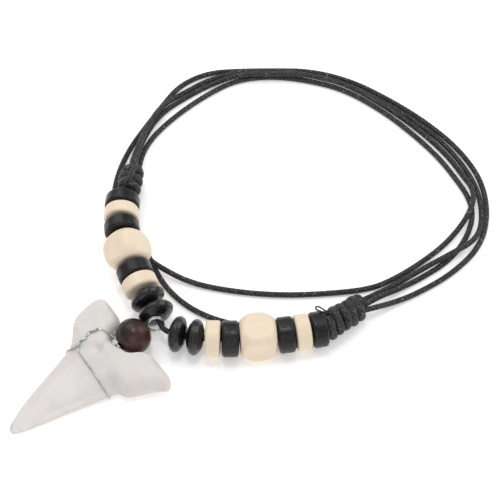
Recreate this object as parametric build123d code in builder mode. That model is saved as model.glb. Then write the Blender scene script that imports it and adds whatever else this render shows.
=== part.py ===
from build123d import *
import os
from math import cos, pi, radians, sin, sqrt, tan

os.makedirs("parts", exist_ok=True)

# A tooth pendant on an adjustable double cord, lying on a flat surface, in millimetres, +Z up.
# The origin is on the surface under the middle of the beads and the pendant. The tooth points
# to -Y, the row of beads runs from left (-X) to right (+X), and the two neck cords lie behind it.

# Driving sizes: cord and string
cord_diameter = 1.2
bore_clearance = 0.4
string_gap = 0.1
crossing_gap = 0.2
string_bend = 2.2
cord_joint_gap = 0.15
floor_gap = 0.02

# Driving sizes: beads
disc_diameter = 7.66
disc_length = 3.2
disc_rim = 0.9
disc_dome = 0.2
rondelle_diameter = 7.9
rondelle_length = 3.5
rondelle_rim = 0.8
rondelle_shoulder_radius = 2.7
rondelle_shoulder_inset = 0.42
cube_side = 7.7
cube_rounding = 2.0

# Driving sizes: pendant bead and wire
pendant_bead_diameter = 7.7
pendant_bead_length = 7.0
pendant_bead_rounding = 2.8
pendant_bead_bore = 1.5
wire_diameter = 0.4
wire_clearance = 0.14
eye_radius = 1.75
eye_turns = 2
eye_sides = 8
eye_pitch = 0.55
eye_offset = 0.5
eye_hang = 0.35

# Driving sizes: tooth
tooth_length = 33.4
tooth_width = 26.0
tooth_root_height = 4.8
tooth_tip_height = 1.3
tooth_root_lift = 0.95
saddle_clearance = 0.2

# Driving sizes: knots
knot_diameter = 5.0
knot_wrap = 1.25
knot_wrap_slant = 18
left_knot_length = 10.2
left_knot_far_height = 3.35
right_knot_length = 10.0
right_knot_far_height = 2.7
knot_wraps = {"left knot": 3, "right knot": 4}

# Where the string bends at the wire eye, and the line that the pendant hangs on
eye_bend = (2.0, 5.95)
pendant_x = -0.3
pendant_bead_top = 3.4

# From the zero that the places below are measured from to the origin under the middle
layout_to_origin = (1.0, -2.1, 0)

# The share of a route's run that the arc at its end takes up
arc_share = 0.45

# Worked out from the sizes above
cord_radius = cord_diameter / 2
bore_radius = (cord_diameter + bore_clearance) / 2
flat_touch = disc_diameter / 2 - disc_rim
rondelle_touch = 2 * bore_radius
wire_radius = wire_diameter / 2
on_floor = rondelle_diameter / 2 + floor_gap
cube_level = cube_side / 2
cube_on_edge = (cube_side / 2 - cube_rounding) * sqrt(2) + cube_rounding
over_cord = cord_diameter + crossing_gap + disc_diameter / 2
pendant_bead_bottom = pendant_bead_top - pendant_bead_length
pendant_height = pendant_bead_diameter / 2 + floor_gap
lengths = {
    "rondelle": rondelle_length,
    "disc": disc_length,
    "edge cube": cube_side,
    "flat cube": cube_side,
    "left knot": left_knot_length,
    "right knot": right_knot_length,
}


def climb(share):
    """The height of the string between lying on the floor (0) and passing over a cord (1)."""
    return on_floor + share * (max(cube_on_edge, over_cord) - on_floor)


# The beads and knot outward from the wire eye: name, shape, heading of the string in degrees
# from +X towards +Y, and the height of the string at the piece's outer end
left_beads = [
    ("left_rondelle_1", "rondelle", 160, climb(0.15)),
    ("left_rondelle_2", "rondelle", 166, climb(0.40)),
    ("left_pale_disc_3", "disc", 158, climb(0.70)),
    ("left_black_disc_4", "disc", 156, climb(1.00)),
    ("left_cube_5", "edge cube", 152, climb(1.00)),
    ("left_black_disc_6", "disc", 143, climb(1.00)),
    ("left_pale_disc_7", "disc", 136, climb(0.86)),
    ("left_black_disc_8", "disc", 134, climb(0.60)),
    ("left_knot", "left knot", 126, left_knot_far_height),
]
right_beads = [
    ("right_rondelle_1", "rondelle", 31, on_floor),
    ("right_rondelle_2", "rondelle", 36, on_floor),
    ("right_pale_disc_3", "disc", 43, on_floor),
    ("right_black_disc_4", "disc", 47, cube_level),
    ("right_cube_5", "flat cube", 50, cube_level),
    ("right_black_disc_6", "disc", 53, on_floor),
    ("right_pale_disc_7", "disc", 56, on_floor),
    ("right_black_disc_8", "disc", 58, on_floor),
    ("right_knot", "right knot", 84, right_knot_far_height),
]

# The bare string on each side of the wire eye's bend: heading and length
left_bare = (146, 1.3)
right_bare = (-6, 2.2)

# Neck cord routes, chosen by hand from the photograph: x, y and height of each point
left_neck_route = [
    (-31.05, 27.15, 4.0), (-35.3, 33.0, 3.1), (-40.2, 41.0, 1.8), (-42.9, 48.2, 0.8), (-42.5, 55.5, 0.65),
    (-41.4, 62.3, 0.65), (-37.9, 68.7, 2.1), (-32.7, 74.1, 2.0), (-26.6, 80.0, 2.0), (-18.2, 84.4, 1.7),
    (-7.0, 85.95, 1.2), (2.7, 86.35, 0.7), (11.9, 85.2, 0.65), (18.3, 83.1, 0.8), (24.1, 80.6, 1.95),
    (27.4, 74.7, 1.95), (28.5, 66.3, 0.65), (28.0, 57.7, 0.65), (26.8, 50.7, 0.65), (25.0, 45.3, 0.65),
    (20.0, 38.7, 0.65), (13.2, 31.1, 0.65), (5.3, 24.5, 0.65), (-2.8, 19.4, 0.75), (-9.8, 17.0, 1.95),
    (-14.6, 16.7, 1.95), (-19.2, 17.1, 0.7), (-26.6, 18.5, 0.65), (-32.5, 23.7, 0.65), (-36.8, 29.1, 0.65),
    (-40.2, 35.8, 0.65), (-42.2, 42.1, 0.65), (-44.4, 49.5, 0.65), (-46.3, 57.1, 0.65), (-44.5, 64.5, 0.65),
    (-39.6, 70.3, 0.65), (-34.4, 75.7, 0.65), (-27.8, 82.1, 0.65), (-18.7, 86.6, 0.65), (-7.3, 88.6, 0.65),
    (2.8, 89.2, 0.65), (12.5, 88.4, 0.65), (22.1, 85.2, 0.65), (29.8, 79.2, 0.65), (34.2, 70.7, 0.65),
    (34.7, 60.7, 0.65), (32.8, 51.5, 0.65), (31.1, 46.2, 1.1), (29.3, 41.5, 2.4),
]
right_neck_route = [
    (27.3, 35.9, 3.27), (28.05, 43.1, 2.47), (29.2, 49.0, 0.9), (30.7, 54.8, 0.65), (31.9, 62.6, 0.65),
    (30.9, 69.4, 0.65), (27.8, 75.8, 0.65), (23.6, 79.2, 0.65), (17.9, 81.3, 0.65), (11.1, 83.3, 0.65),
    (2.7, 84.4, 0.65), (-6.9, 84.8, 0.65), (-17.9, 83.5, 0.65), (-26.3, 79.4, 0.65), (-33.0, 74.4, 0.65),
    (-37.6, 68.4, 0.65), (-39.3, 62.4, 0.65), (-40.1, 52.6, 0.65), (-39.4, 43.1, 0.65), (-37.4, 37.2, 0.65),
    (-32.4, 32.6, 0.65), (-27.1, 27.1, 0.65), (-20.9, 21.9, 0.65), (-14.1, 18.0, 0.65), (-6.1, 14.6, 0.65),
    (2.8, 14.7, 0.65), (11.6, 18.4, 0.65), (18.2, 24.8, 0.65), (22.5, 33.4, 0.65), (25.7, 41.5, 0.65),
    (27.8, 48.9, 0.65), (29.7, 56.5, 1.6), (31.6, 63.7, 2.1), (32.9, 70.9, 1.75), (29.1, 77.5, 0.65),
    (22.1, 82.9, 0.65), (12.2, 87.0, 0.65), (2.8, 87.8, 0.65), (-7.2, 87.2, 0.65), (-18.4, 85.3, 0.65),
    (-27.1, 80.8, 0.85), (-33.6, 75.0, 1.68), (-38.8, 69.5, 1.5), (-42.7, 63.2, 0.75), (-43.9, 55.9, 0.65),
    (-43.8, 48.7, 1.95), (-40.3, 41.1, 3.1), (-37.4, 35.9, 4.05), (-35.0, 31.4, 4.42),
]

# The tooth's outline from its tip: place across as a share of the tooth's width, place along as a
# share of its length. The crown's two edges meet at the tip, and the root has two lobes.
crown_right_edge = [
    (-0.030, 0.000), (0.027, 0.066), (0.096, 0.219), (0.162, 0.377), (0.227, 0.536), (0.254, 0.602),
]
root_edge = [
    (0.254, 0.602), (0.277, 0.632), (0.350, 0.656), (0.415, 0.746), (0.450, 0.811), (0.535, 0.874),
    (0.500, 0.907), (0.373, 0.931), (0.254, 0.940), (0.170, 0.900), (0.095, 0.838), (0.000, 0.828),
    (-0.100, 0.838), (-0.170, 0.900), (-0.195, 0.970), (-0.242, 0.995), (-0.319, 1.000), (-0.431, 0.994),
    (-0.455, 0.960), (-0.465, 0.850), (-0.458, 0.796), (-0.427, 0.754), (-0.358, 0.698), (-0.304, 0.641),
    (-0.292, 0.581),
]
crown_left_edge = [
    (-0.292, 0.581), (-0.269, 0.494), (-0.238, 0.371), (-0.196, 0.213), (-0.146, 0.108), (-0.075, 0.010),
]
saddle_share = 0.832
tooth_middle = (-0.02, 0.62)

# Levels of the tooth from its back to its front: share of its height, and size of its outline
tooth_levels = [(0.00, 0.86), (0.30, 1.00), (0.62, 0.96), (0.88, 0.84), (1.00, 0.66)]

# The wire round the tooth: place across and along the tooth as above, and which side it is on
tooth_wire_route = [
    (-0.020, 0.822, "saddle"), (-0.050, 0.800, "front"), (-0.110, 0.795, "front"), (-0.165, 0.785, "front"),
    (-0.215, 0.765, "front"), (-0.235, 0.735, "front"), (-0.228, 0.690, "front"), (-0.215, 0.650, "front"),
    (-0.170, 0.622, "front"), (-0.060, 0.596, "front"), (0.100, 0.568, "front"), (0.215, 0.552, "front"),
    (0.272, 0.548, "edge"), (0.252, 0.551, "back"), (0.100, 0.569, "back"), (-0.100, 0.591, "back"),
    (-0.314, 0.612, "back"), (-0.336, 0.612, "edge"), (-0.285, 0.614, "front"), (-0.240, 0.622, "front"),
]


def step(point, heading, length, height):
    """The point a given length further along a heading, at a new height."""
    level = sqrt(length**2 - (height - point.Z) ** 2)
    return Vector(point.X + level * cos(radians(heading)), point.Y + level * sin(radians(heading)), height)


def bead_ends(start, bare_end, rows):
    """Where each bead and knot of one side begins and ends, from the eye outward.

    Two pieces at a turn touch at their inner rims, so the space at their holes grows with it.
    """
    ends = []
    point = bare_end
    direction = bare_end - start
    touch = cord_radius
    for name, shape, heading, height in rows:
        straight_on = step(point, heading, lengths[shape], height) - point
        space = string_gap + touch * tan(radians(direction.get_angle(straight_on)))
        far = step(point, heading, space + lengths[shape], height)
        direction = (far - point).normalized()
        ends.append((far - direction * lengths[shape], far))
        point = far
        touch = rondelle_touch if shape == "rondelle" else flat_touch
    return ends


def axis_plane(first, last):
    """A plane at the first point, with Z towards the last one and X level."""
    direction = (last - first).normalized()
    return Plane(origin=first, x_dir=Vector(-direction.Y, direction.X, 0), z_dir=direction)


def arc_radii(points):
    """The radius of the arc at each inner point of a route, as large as its two runs allow."""
    radii = []
    for before, here, after in zip(points, points[1:], points[2:]):
        arriving = Vector(*here) - Vector(*before)
        leaving = Vector(*after) - Vector(*here)
        half_turn = radians(arriving.get_angle(leaving)) / 2
        radii.append(arc_share * min(arriving.length, leaving.length) / tan(half_turn))
    return radii


def write(part, name):
    """Move a finished piece to the origin, label it and write it."""
    placed = Pos(*layout_to_origin) * part
    placed.label = name
    export_step(placed, f"parts/{name}.step")


def make_disc(name, plane):
    """A flat round bead with a rounded rim and slightly domed faces."""
    with BuildPart() as disc:
        with BuildSketch(Plane.XZ):
            with BuildLine():
                Polyline(
                    (bore_radius, 0),
                    (disc_diameter / 2, disc_dome),
                    (disc_diameter / 2, disc_length - disc_dome),
                    (bore_radius, disc_length),
                    close=True,
                )
            make_face()
            fillet(vertices().group_by(Axis.X)[-1], disc_rim)
        revolve(axis=Axis.Z)
    write(plane * disc.part, name)


def make_rondelle(name, plane):
    """A lens-shaped round bead with a rounded rim."""
    radius = rondelle_diameter / 2
    rim_near = (rondelle_length - rondelle_rim) / 2
    rim_far = (rondelle_length + rondelle_rim) / 2
    with BuildPart() as rondelle:
        with BuildSketch(Plane.XZ):
            with BuildLine():
                Line((bore_radius, 0), (bore_radius, rondelle_length))
                ThreePointArc(
                    (bore_radius, rondelle_length),
                    (rondelle_shoulder_radius, rondelle_length - rondelle_shoulder_inset),
                    (radius, rim_far),
                )
                Line((radius, rim_far), (radius, rim_near))
                ThreePointArc(
                    (radius, rim_near),
                    (rondelle_shoulder_radius, rondelle_shoulder_inset),
                    (bore_radius, 0),
                )
            make_face()
            fillet(vertices().group_by(Axis.X)[-1], rondelle_rim / 2)
        revolve(axis=Axis.Z)
    write(plane * rondelle.part, name)


def make_cube(name, plane, turn):
    """A cube with rounded edges, drilled through, turned about its hole."""
    with BuildPart() as cube:
        with Locations(Rotation(0, 0, turn)):
            Box(cube_side, cube_side, cube_side, align=(Align.CENTER, Align.CENTER, Align.MIN))
        fillet(cube.edges(), cube_rounding)
        with Locations(cube.faces().sort_by(Axis.Z)[-1]):
            Hole(bore_radius)
    write(plane * cube.part, name)


def make_knot(name, plane, length, wraps):
    """A barrel of slanted wraps round a bored core, tied round the cord inside it."""
    wrap_radius = knot_wrap / 2
    core_radius = knot_diameter / 2 - wrap_radius
    pitch = (length - 2 * knot_wrap) / (wraps - 1)
    with BuildPart() as knot:
        with BuildSketch(Plane.XZ):
            with Locations((core_radius / 2, length / 2)):
                Rectangle(core_radius, length)
            fillet(vertices().group_by(Axis.X)[-1], wrap_radius)
        revolve(axis=Axis.Z)
        for wrap in range(wraps):
            wrap_plane = Plane.XY.offset(knot_wrap + wrap * pitch).rotated((knot_wrap_slant, 0, 0))
            with Locations(wrap_plane):
                Torus(core_radius, wrap_radius)
        Cylinder(bore_radius, length, align=(Align.CENTER, Align.CENTER, Align.MIN), mode=Mode.SUBTRACT)
    write(plane * knot.part, name)


def make_tube(name, points, radii, diameter):
    """A round tube along straight runs joined by tangent arcs."""
    with BuildPart() as tube:
        with BuildLine() as path:
            FilletPolyline(*points, radius=radii)
        with BuildSketch(Plane(origin=path.line @ 0, z_dir=path.line % 0)):
            Circle(diameter / 2)
        sweep(path=path.line)
    length = path.wire().length
    expected = length * pi * diameter**2 / 4
    print(f"{name}: length {length:.1f}, volume {tube.part.volume:.1f}, section times length {expected:.1f}")
    write(tube.part, name)


# The string: its places at the eye and at every bead and knot
bend = Vector(*eye_bend, on_floor)
left_start = step(bend, left_bare[0], left_bare[1], on_floor)
right_start = step(bend, right_bare[0], right_bare[1], on_floor)
left_ends = bead_ends(bend, left_start, left_beads)
right_ends = bead_ends(bend, right_start, right_beads)

# The beads and the knots
for rows, ends in ((left_beads, left_ends), (right_beads, right_ends)):
    for (name, shape, heading, height), (near, far) in zip(rows, ends):
        plane = axis_plane(near, far)
        if shape == "disc":
            make_disc(name, plane)
        elif shape == "rondelle":
            make_rondelle(name, plane)
        elif shape == "edge cube":
            make_cube(name, plane, 45)
        elif shape == "flat cube":
            make_cube(name, plane, 0)
        else:
            make_knot(name, plane, lengths[shape], knot_wraps[shape])


def inside_knot(ends, neck_start):
    """Where the string stops inside a knot, just short of the neck cord that goes on from it."""
    near, far = ends
    axis = (far - near).normalized()
    reach = (Vector(*neck_start) - near).dot(axis)
    return near + axis * (reach - cord_joint_gap)


# The string that carries the beads
string_points = (
    [inside_knot(left_ends[-1], left_neck_route[0])]
    + [far for near, far in reversed(left_ends[:-1])]
    + [left_start, bend, right_start]
    + [far for near, far in right_ends[:-1]]
    + [inside_knot(right_ends[-1], right_neck_route[0])]
)
make_tube("bead_cord", string_points, string_bend, cord_diameter)

# The neck cords
for name, route in (("left_neck_cord", left_neck_route), ("right_neck_cord", right_neck_route)):
    radii = arc_radii(route)
    print(name, "arc radii", " ".join(f"{radius:.1f}" for radius in radii))
    make_tube(name, route, radii, cord_diameter)

# The pendant bead: a rounded barrel drilled along the line that the pendant hangs on
with BuildPart() as pendant_bead:
    with BuildSketch(Plane.XZ):
        with Locations((pendant_bead_diameter / 4, pendant_bead_length / 2)):
            Rectangle(pendant_bead_diameter / 2, pendant_bead_length)
        fillet(vertices().group_by(Axis.X)[-1], pendant_bead_rounding)
    revolve(axis=Axis.Z)
    with Locations(pendant_bead.faces().sort_by(Axis.Z)[-1]):
        Hole(pendant_bead_bore / 2)
pendant_top = Vector(pendant_x, pendant_bead_top, pendant_height)
pendant_bottom = Vector(pendant_x, pendant_bead_bottom, pendant_height)
write(axis_plane(pendant_bottom, pendant_top) * pendant_bead.part, "pendant_bead")

# The wire's eye: two turns round the bare string, then a shank into the pendant bead
string_direction = (bend - left_start).normalized()
hang_direction = Vector(string_direction.Y, -string_direction.X, 0)
eye_centre = left_start + string_direction * eye_offset + hang_direction * eye_hang
eye_points = []
for corner in range(eye_turns * eye_sides + 1):
    angle = 2 * pi * corner / eye_sides
    eye_points.append(
        eye_centre
        + string_direction * (eye_pitch * (eye_turns - corner / eye_sides))
        + hang_direction * (eye_radius * cos(angle))
        + Vector(0, 0, eye_radius * sin(angle))
    )
shank_top = Vector(pendant_x, pendant_bead_top + wire_diameter, pendant_height)
pendant_middle = (pendant_top + pendant_bottom) / 2
shank_points = [shank_top, pendant_middle + Vector(0, cord_joint_gap / 2, 0)]
eye_points += shank_points
make_tube("eye_wire", eye_points, arc_radii(eye_points), wire_diameter)

# The tooth: its outline at each level, on planes that close towards the tip
tip_y = pendant_bead_bottom - saddle_clearance - saddle_share * tooth_length
saddle_run = saddle_share * tooth_length


def level_height(share, along):
    """The height of a level of the tooth at a share of its length from the tip."""
    root_share = along / saddle_share
    back = root_share * tooth_root_lift
    front = tooth_tip_height + root_share * (tooth_root_height - tooth_tip_height)
    return back + share * (front - back)


def outline(row, size):
    """A row of outline shares as places on a level's plane."""
    return [
        (
            tooth_width * (tooth_middle[0] + size * (across - tooth_middle[0])),
            tooth_length * (tooth_middle[1] + size * (along - tooth_middle[1])),
        )
        for across, along in row
    ]


with BuildPart() as shark_tooth:
    for share, size in tooth_levels:
        rise = level_height(share, saddle_share) - level_height(share, 0)
        level = Plane(
            origin=(pendant_x, tip_y, level_height(share, 0)),
            x_dir=(1, 0, 0),
            z_dir=(0, -rise, saddle_run),
        )
        with BuildSketch(level):
            with BuildLine():
                right = Spline(*outline(crown_right_edge, size))
                root = Spline(*outline(root_edge, size))
                left = Spline(*outline(crown_left_edge, size))
                Line(left @ 1, right @ 0)
            make_face()
    loft()
write(shark_tooth.part, "shark_tooth")

# The wire that holds the tooth: over its front, through both notches and behind it
wire_heights = {
    "saddle": lambda along: pendant_height + wire_diameter,
    "front": lambda along: level_height(1, along) + wire_radius + wire_clearance,
    "edge": lambda along: level_height(0.5, along),
    "back": lambda along: wire_radius + floor_gap,
}
wire_points = [
    pendant_middle - Vector(0, cord_joint_gap / 2, 0),
    pendant_bottom + Vector(0, wire_diameter, 0),
]
for across, along, side in tooth_wire_route:
    wire_points.append(
        Vector(pendant_x + across * tooth_width, tip_y + along * tooth_length, wire_heights[side](along))
    )
make_tube("tooth_wire", wire_points, arc_radii(wire_points), wire_diameter)
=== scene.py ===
"""An adjustable cord necklace with wooden beads and a wire-bound shark tooth, lying on a pale floor.

Places and sizes are in millimetres in the layout that the beads and cords were measured in. They
become metres in the row's frame when a mesh is made.
"""

import logging
from dataclasses import dataclass, field
from enum import Enum
from typing import Any, Callable

import bpy
import numpy as np
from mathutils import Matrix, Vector

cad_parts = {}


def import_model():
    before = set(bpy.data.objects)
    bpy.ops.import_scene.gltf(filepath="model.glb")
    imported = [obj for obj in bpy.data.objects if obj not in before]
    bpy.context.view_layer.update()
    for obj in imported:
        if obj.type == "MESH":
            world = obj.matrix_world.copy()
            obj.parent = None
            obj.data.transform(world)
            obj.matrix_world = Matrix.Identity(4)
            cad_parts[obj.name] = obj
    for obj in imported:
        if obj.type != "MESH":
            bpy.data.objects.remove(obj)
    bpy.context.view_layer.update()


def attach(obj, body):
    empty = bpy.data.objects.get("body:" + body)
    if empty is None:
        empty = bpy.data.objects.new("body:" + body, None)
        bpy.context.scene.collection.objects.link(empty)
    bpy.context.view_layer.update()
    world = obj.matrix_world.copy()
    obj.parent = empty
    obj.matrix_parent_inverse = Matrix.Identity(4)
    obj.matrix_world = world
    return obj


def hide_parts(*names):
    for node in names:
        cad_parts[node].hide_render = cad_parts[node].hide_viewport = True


log = logging.getLogger("necklace")

Place = tuple[float, float, float]
Colour = tuple[float, float, float, float]
# Another node's output, or a plain value that is set on the socket
Socket = Any
# The finishes by slot
Palette = dict[str, bpy.types.Material]

METRES = 0.001
LAYOUT_TO_ORIGIN = np.array((1.0, -2.1, 0.0))
ROOT = "root"
UP = np.array((0.0, 0.0, 1.0))
TINY = 1e-9
RIPPLE_WAVES = 14
# A height that the ripple seldom passes: it is taken off, so that handwork mostly removes wood
RIPPLE_CREST = 1.8
ARC_POINTS = 10
HOLE_ROUNDING = 0.3


# Arrays and curves


def unit(vectors: np.ndarray) -> np.ndarray:
    """Each vector divided by its length."""
    return vectors / np.linalg.norm(vectors, axis=-1, keepdims=True)


def eased(value: np.ndarray) -> np.ndarray:
    """A share held from 0 to 1 and eased at both ends: 3 times its square less 2 times its cube."""
    share = np.clip(value, 0, 1)
    return share * share * (3 - 2 * share)


def pillow(distance: np.ndarray, reach: Any, power: float = 2.0, fall: float = 0.5) -> np.ndarray:
    """How high a padded surface stands, 0 at its rim and 1 from the reach inward.

    The share of the reach that is left is raised to a power and taken from 1, and what remains is
    raised to the fall.

    Args:
        distance: how far in from the rim.
        reach: how far in it levels out.
        power: the power of the share that is left.
        fall: the power of what remains.

    Returns:
        A share for each distance.
    """
    left = 1 - np.clip(distance / reach, 0, 1)
    return (1 - left**power) ** fall


def ripple(places: np.ndarray, size: float, seed: int) -> np.ndarray:
    """A smooth random height, mostly from -1 to 1, with a few peaks past 2 on these pieces.

    The sum of plane sine waves in random directions, with wavelengths from half to twice the size.

    Args:
        places: points in millimetres, their three coordinates last.
        size: middle wavelength in millimetres.
        seed: picks one of the surfaces.

    Returns:
        One height a point.
    """
    source = np.random.default_rng(seed)
    directions = unit(source.normal(size=(RIPPLE_WAVES, 3)))
    lengths = size * 2.0 ** source.uniform(-1, 1, RIPPLE_WAVES)
    starts = source.uniform(0, 2 * np.pi, RIPPLE_WAVES)
    turns = places @ (2 * np.pi * directions / lengths[:, None]).T + starts
    return np.sin(turns).sum(-1) / np.sqrt(RIPPLE_WAVES)


def spaced(path: np.ndarray, spacing: float) -> np.ndarray:
    """The same path with its points an equal distance apart, found from its running length.

    Args:
        path: points in order.
        spacing: the distance wanted, changed a little to divide the length.

    Returns:
        The new points.
    """
    run = np.concatenate(([0.0], np.cumsum(np.linalg.norm(np.diff(path, axis=0), axis=1))))
    count = max(2, round(run[-1] / spacing) + 1)
    wanted = np.linspace(0, run[-1], count)
    return np.stack([np.interp(wanted, run, path[:, axis]) for axis in range(3)], 1)


def directions_along(path: np.ndarray) -> np.ndarray:
    """The unit tangent at each point, from its two neighbours."""
    return unit(np.gradient(path, axis=0))


def smooth_line(name: str, points: np.ndarray) -> np.ndarray:
    """The line of a NURBS spline that has these points as its control points, in millimetres.

    Args:
        name: the curve's name while it is worked out.
        points: the control points in order.

    Returns:
        Points along the line.
    """
    data = bpy.data.curves.new(name, "CURVE")
    data.dimensions = "3D"
    spline = data.splines.new("NURBS")
    spline.points.add(len(points) - 1)
    for point, place in zip(spline.points, points):
        point.co = (*place, 1.0)
    spline.order_u = 3
    spline.use_endpoint_u = True
    spline.resolution_u = 32
    carrier = bpy.data.objects.new(name, data)
    line = bpy.data.meshes.new_from_object(carrier)
    places = np.zeros(len(line.vertices) * 3)
    line.vertices.foreach_get("co", places)
    bpy.data.objects.remove(carrier)
    bpy.data.meshes.remove(line)
    bpy.data.curves.remove(data)
    return places.reshape(-1, 3)


def closed_curve(points: np.ndarray, spacing: float) -> np.ndarray:
    """A smooth closed curve through points in a plane.

    Each run is a cubic whose end slopes are the mean of the two runs that meet there, weighted by
    the other run's length, so that short and long runs join without a bulge.

    Args:
        points: corners in order, the last not repeating the first.
        spacing: distance between the points returned.

    Returns:
        Points an equal distance apart, the last just before the first.
    """
    ahead = np.roll(points, -1, 0) - points
    length = np.linalg.norm(ahead, axis=1, keepdims=True)
    slope = ahead / length
    behind_slope, behind_length = np.roll(slope, 1, 0), np.roll(length, 1, 0)
    tangent = (slope * behind_length + behind_slope * length) / (length + behind_length)
    share = np.linspace(0, 1, 24, endpoint=False)[None, :, None]
    start, end = points[:, None], np.roll(points, -1, 0)[:, None]
    leaving = (tangent * length)[:, None]
    arriving = (np.roll(tangent, -1, 0) * length)[:, None]
    curve = (
        start * (2 * share**3 - 3 * share**2 + 1)
        + leaving * (share**3 - 2 * share**2 + share)
        + end * (-2 * share**3 + 3 * share**2)
        + arriving * (share**3 - share**2)
    ).reshape(-1, 2)
    curve = np.concatenate((curve, curve[:1]))
    return spaced(np.column_stack((curve, np.zeros(len(curve)))), spacing)[:-1, :2]


def rounded_outline(corners: list[Place], step: float) -> np.ndarray:
    """A closed polygon with an arc at each corner.

    Each corner is replaced by the arc of its radius that touches both of its sides, and the
    straight stretches are divided into equal steps.

    Args:
        corners: distance from the axis, place along it and radius of each corner.
        step: length of the steps on straight stretches.

    Returns:
        Points in order, the last just before the first.
    """
    places = np.array([corner[:2] for corner in corners])
    arcs = []
    for here, before, after, (_, _, radius) in zip(
        places, np.roll(places, 1, 0), np.roll(places, -1, 0), corners
    ):
        incoming, outgoing = unit(here - before), unit(after - here)
        half_turn = np.arccos(np.clip(incoming @ outgoing, -1, 1)) / 2
        centre = here + unit(outgoing - incoming) * radius / np.cos(half_turn)
        first = here - incoming * radius * np.tan(half_turn) - centre
        angle = np.linspace(0, 2 * half_turn, ARC_POINTS)[:, None]
        arcs.append(centre + first * np.cos(angle) + incoming * radius * np.sin(angle))
    outline = []
    for arc, following in zip(arcs, arcs[1:] + arcs[:1]):
        gap = following[0] - arc[-1]
        count = max(1, round(float(np.linalg.norm(gap)) / step))
        outline += [arc, arc[-1] + gap * np.linspace(0, 1, count + 1)[1:-1, None]]
    return np.concatenate(outline)


# Surfaces


@dataclass
class Surface:
    """A mesh as arrays: points, four-sided and three-sided faces, and what they carry.

    Args:
        points: places in millimetres.
        quads: four point numbers a face.
        quad_uv: the pattern place of each corner of each quad.
        triangles: three point numbers a face.
        masks: named values, one a point.
        own_places: each point's place on its own piece, for grain that follows it.
    """

    points: np.ndarray
    quads: np.ndarray
    quad_uv: np.ndarray
    triangles: np.ndarray = field(default_factory=lambda: np.zeros((0, 3), int))
    masks: dict[str, np.ndarray] = field(default_factory=dict)
    own_places: np.ndarray | None = None


def grid(points: np.ndarray, wrap_rows: bool, scale: tuple[float, float] = (0.02, 0.02)) -> Surface:
    """Quads between the rows and columns of a grid of points whose columns go round.

    Args:
        points: rows by columns by three.
        wrap_rows: the last row joins the first as well.
        scale: pattern length of one row step and one column step.

    Returns:
        The surface, with its pattern places growing by row and column.
    """
    rows, columns = points.shape[:2]
    row, column = np.indices((rows if wrap_rows else rows - 1, columns)).reshape(2, -1)
    corner_rows = np.stack((row, row, row + 1, row + 1), 1)
    corner_columns = np.stack((column, column + 1, column + 1, column), 1)
    quads = (corner_rows % rows) * columns + corner_columns % columns
    uv = np.stack((corner_columns * scale[1], corner_rows * scale[0]), 2)
    return Surface(points.reshape(-1, 3), quads, uv)


def with_poles(surface: Surface, columns: int, first: np.ndarray, last: np.ndarray) -> Surface:
    """A grid that is closed at its first and last rows by a fan to a point each.

    Args:
        surface: the grid.
        columns: points in a row.
        first: the point that closes the first row.
        last: the point that closes the last row.

    Returns:
        The same surface, closed.
    """
    count = len(surface.points)
    ring = np.arange(columns)
    ahead = (ring + 1) % columns
    final = count - columns
    fans = ((ahead, ring, 0 * ring + count), (final + ring, final + ahead, 0 * ring + count + 1))
    surface.points = np.vstack((surface.points, first, last))
    surface.triangles = np.hstack(fans).T
    return surface


def joined(surfaces: list[Surface]) -> Surface:
    """Several surfaces as one, with their point numbers moved up in turn.

    Args:
        surfaces: what is joined, each with the same masks.

    Returns:
        One surface.
    """
    starts = np.cumsum([0] + [len(surface.points) for surface in surfaces[:-1]])
    names = surfaces[0].masks
    return Surface(
        np.vstack([surface.points for surface in surfaces]),
        np.vstack([surface.quads + start for surface, start in zip(surfaces, starts)]),
        np.concatenate([surface.quad_uv for surface in surfaces]),
        np.vstack([surface.triangles + start for surface, start in zip(surfaces, starts)]),
        {name: np.concatenate([surface.masks[name] for surface in surfaces]) for name in names},
    )


def make_piece(
    name: str, slot: str, surface: Surface, palette: Palette, *nodes: str
) -> bpy.types.Object:
    """Puts a surface into a mesh object that stands for CAD nodes and rides on the root.

    Args:
        name: the piece's name.
        slot: the record's material slot.
        surface: its mesh in millimetres.
        palette: the finishes by slot.
        nodes: the CAD nodes that it stands for.

    Returns:
        The object, at the origin, with its place in its mesh.
    """
    mesh = bpy.data.meshes.new(name)
    places = (surface.points + LAYOUT_TO_ORIGIN) * METRES
    mesh.from_pydata(places.tolist(), [], surface.quads.tolist() + surface.triangles.tolist())
    layer = mesh.uv_layers.new(name="along")
    uv = np.zeros((len(mesh.loops), 2), np.float32)
    uv[: 4 * len(surface.quads)] = surface.quad_uv.reshape(-1, 2)
    layer.data.foreach_set("uv", uv.ravel())
    for title, values in surface.masks.items():
        mask = mesh.attributes.new(title, "FLOAT", "POINT")
        mask.data.foreach_set("value", values.astype(np.float32))
    if surface.own_places is not None:
        own = mesh.attributes.new("own_place", "FLOAT_VECTOR", "POINT")
        own.data.foreach_set("vector", surface.own_places.astype(np.float32).ravel())
    mesh.polygons.foreach_set("use_smooth", np.ones(len(mesh.polygons), bool))
    mesh.materials.append(palette[slot])
    mesh.validate()
    piece = bpy.data.objects.new(name, mesh)
    bpy.context.scene.collection.objects.link(piece)
    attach(piece, ROOT)
    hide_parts(*nodes)
    log.info("%s: %d faces", name, len(mesh.polygons))
    return piece


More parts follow.
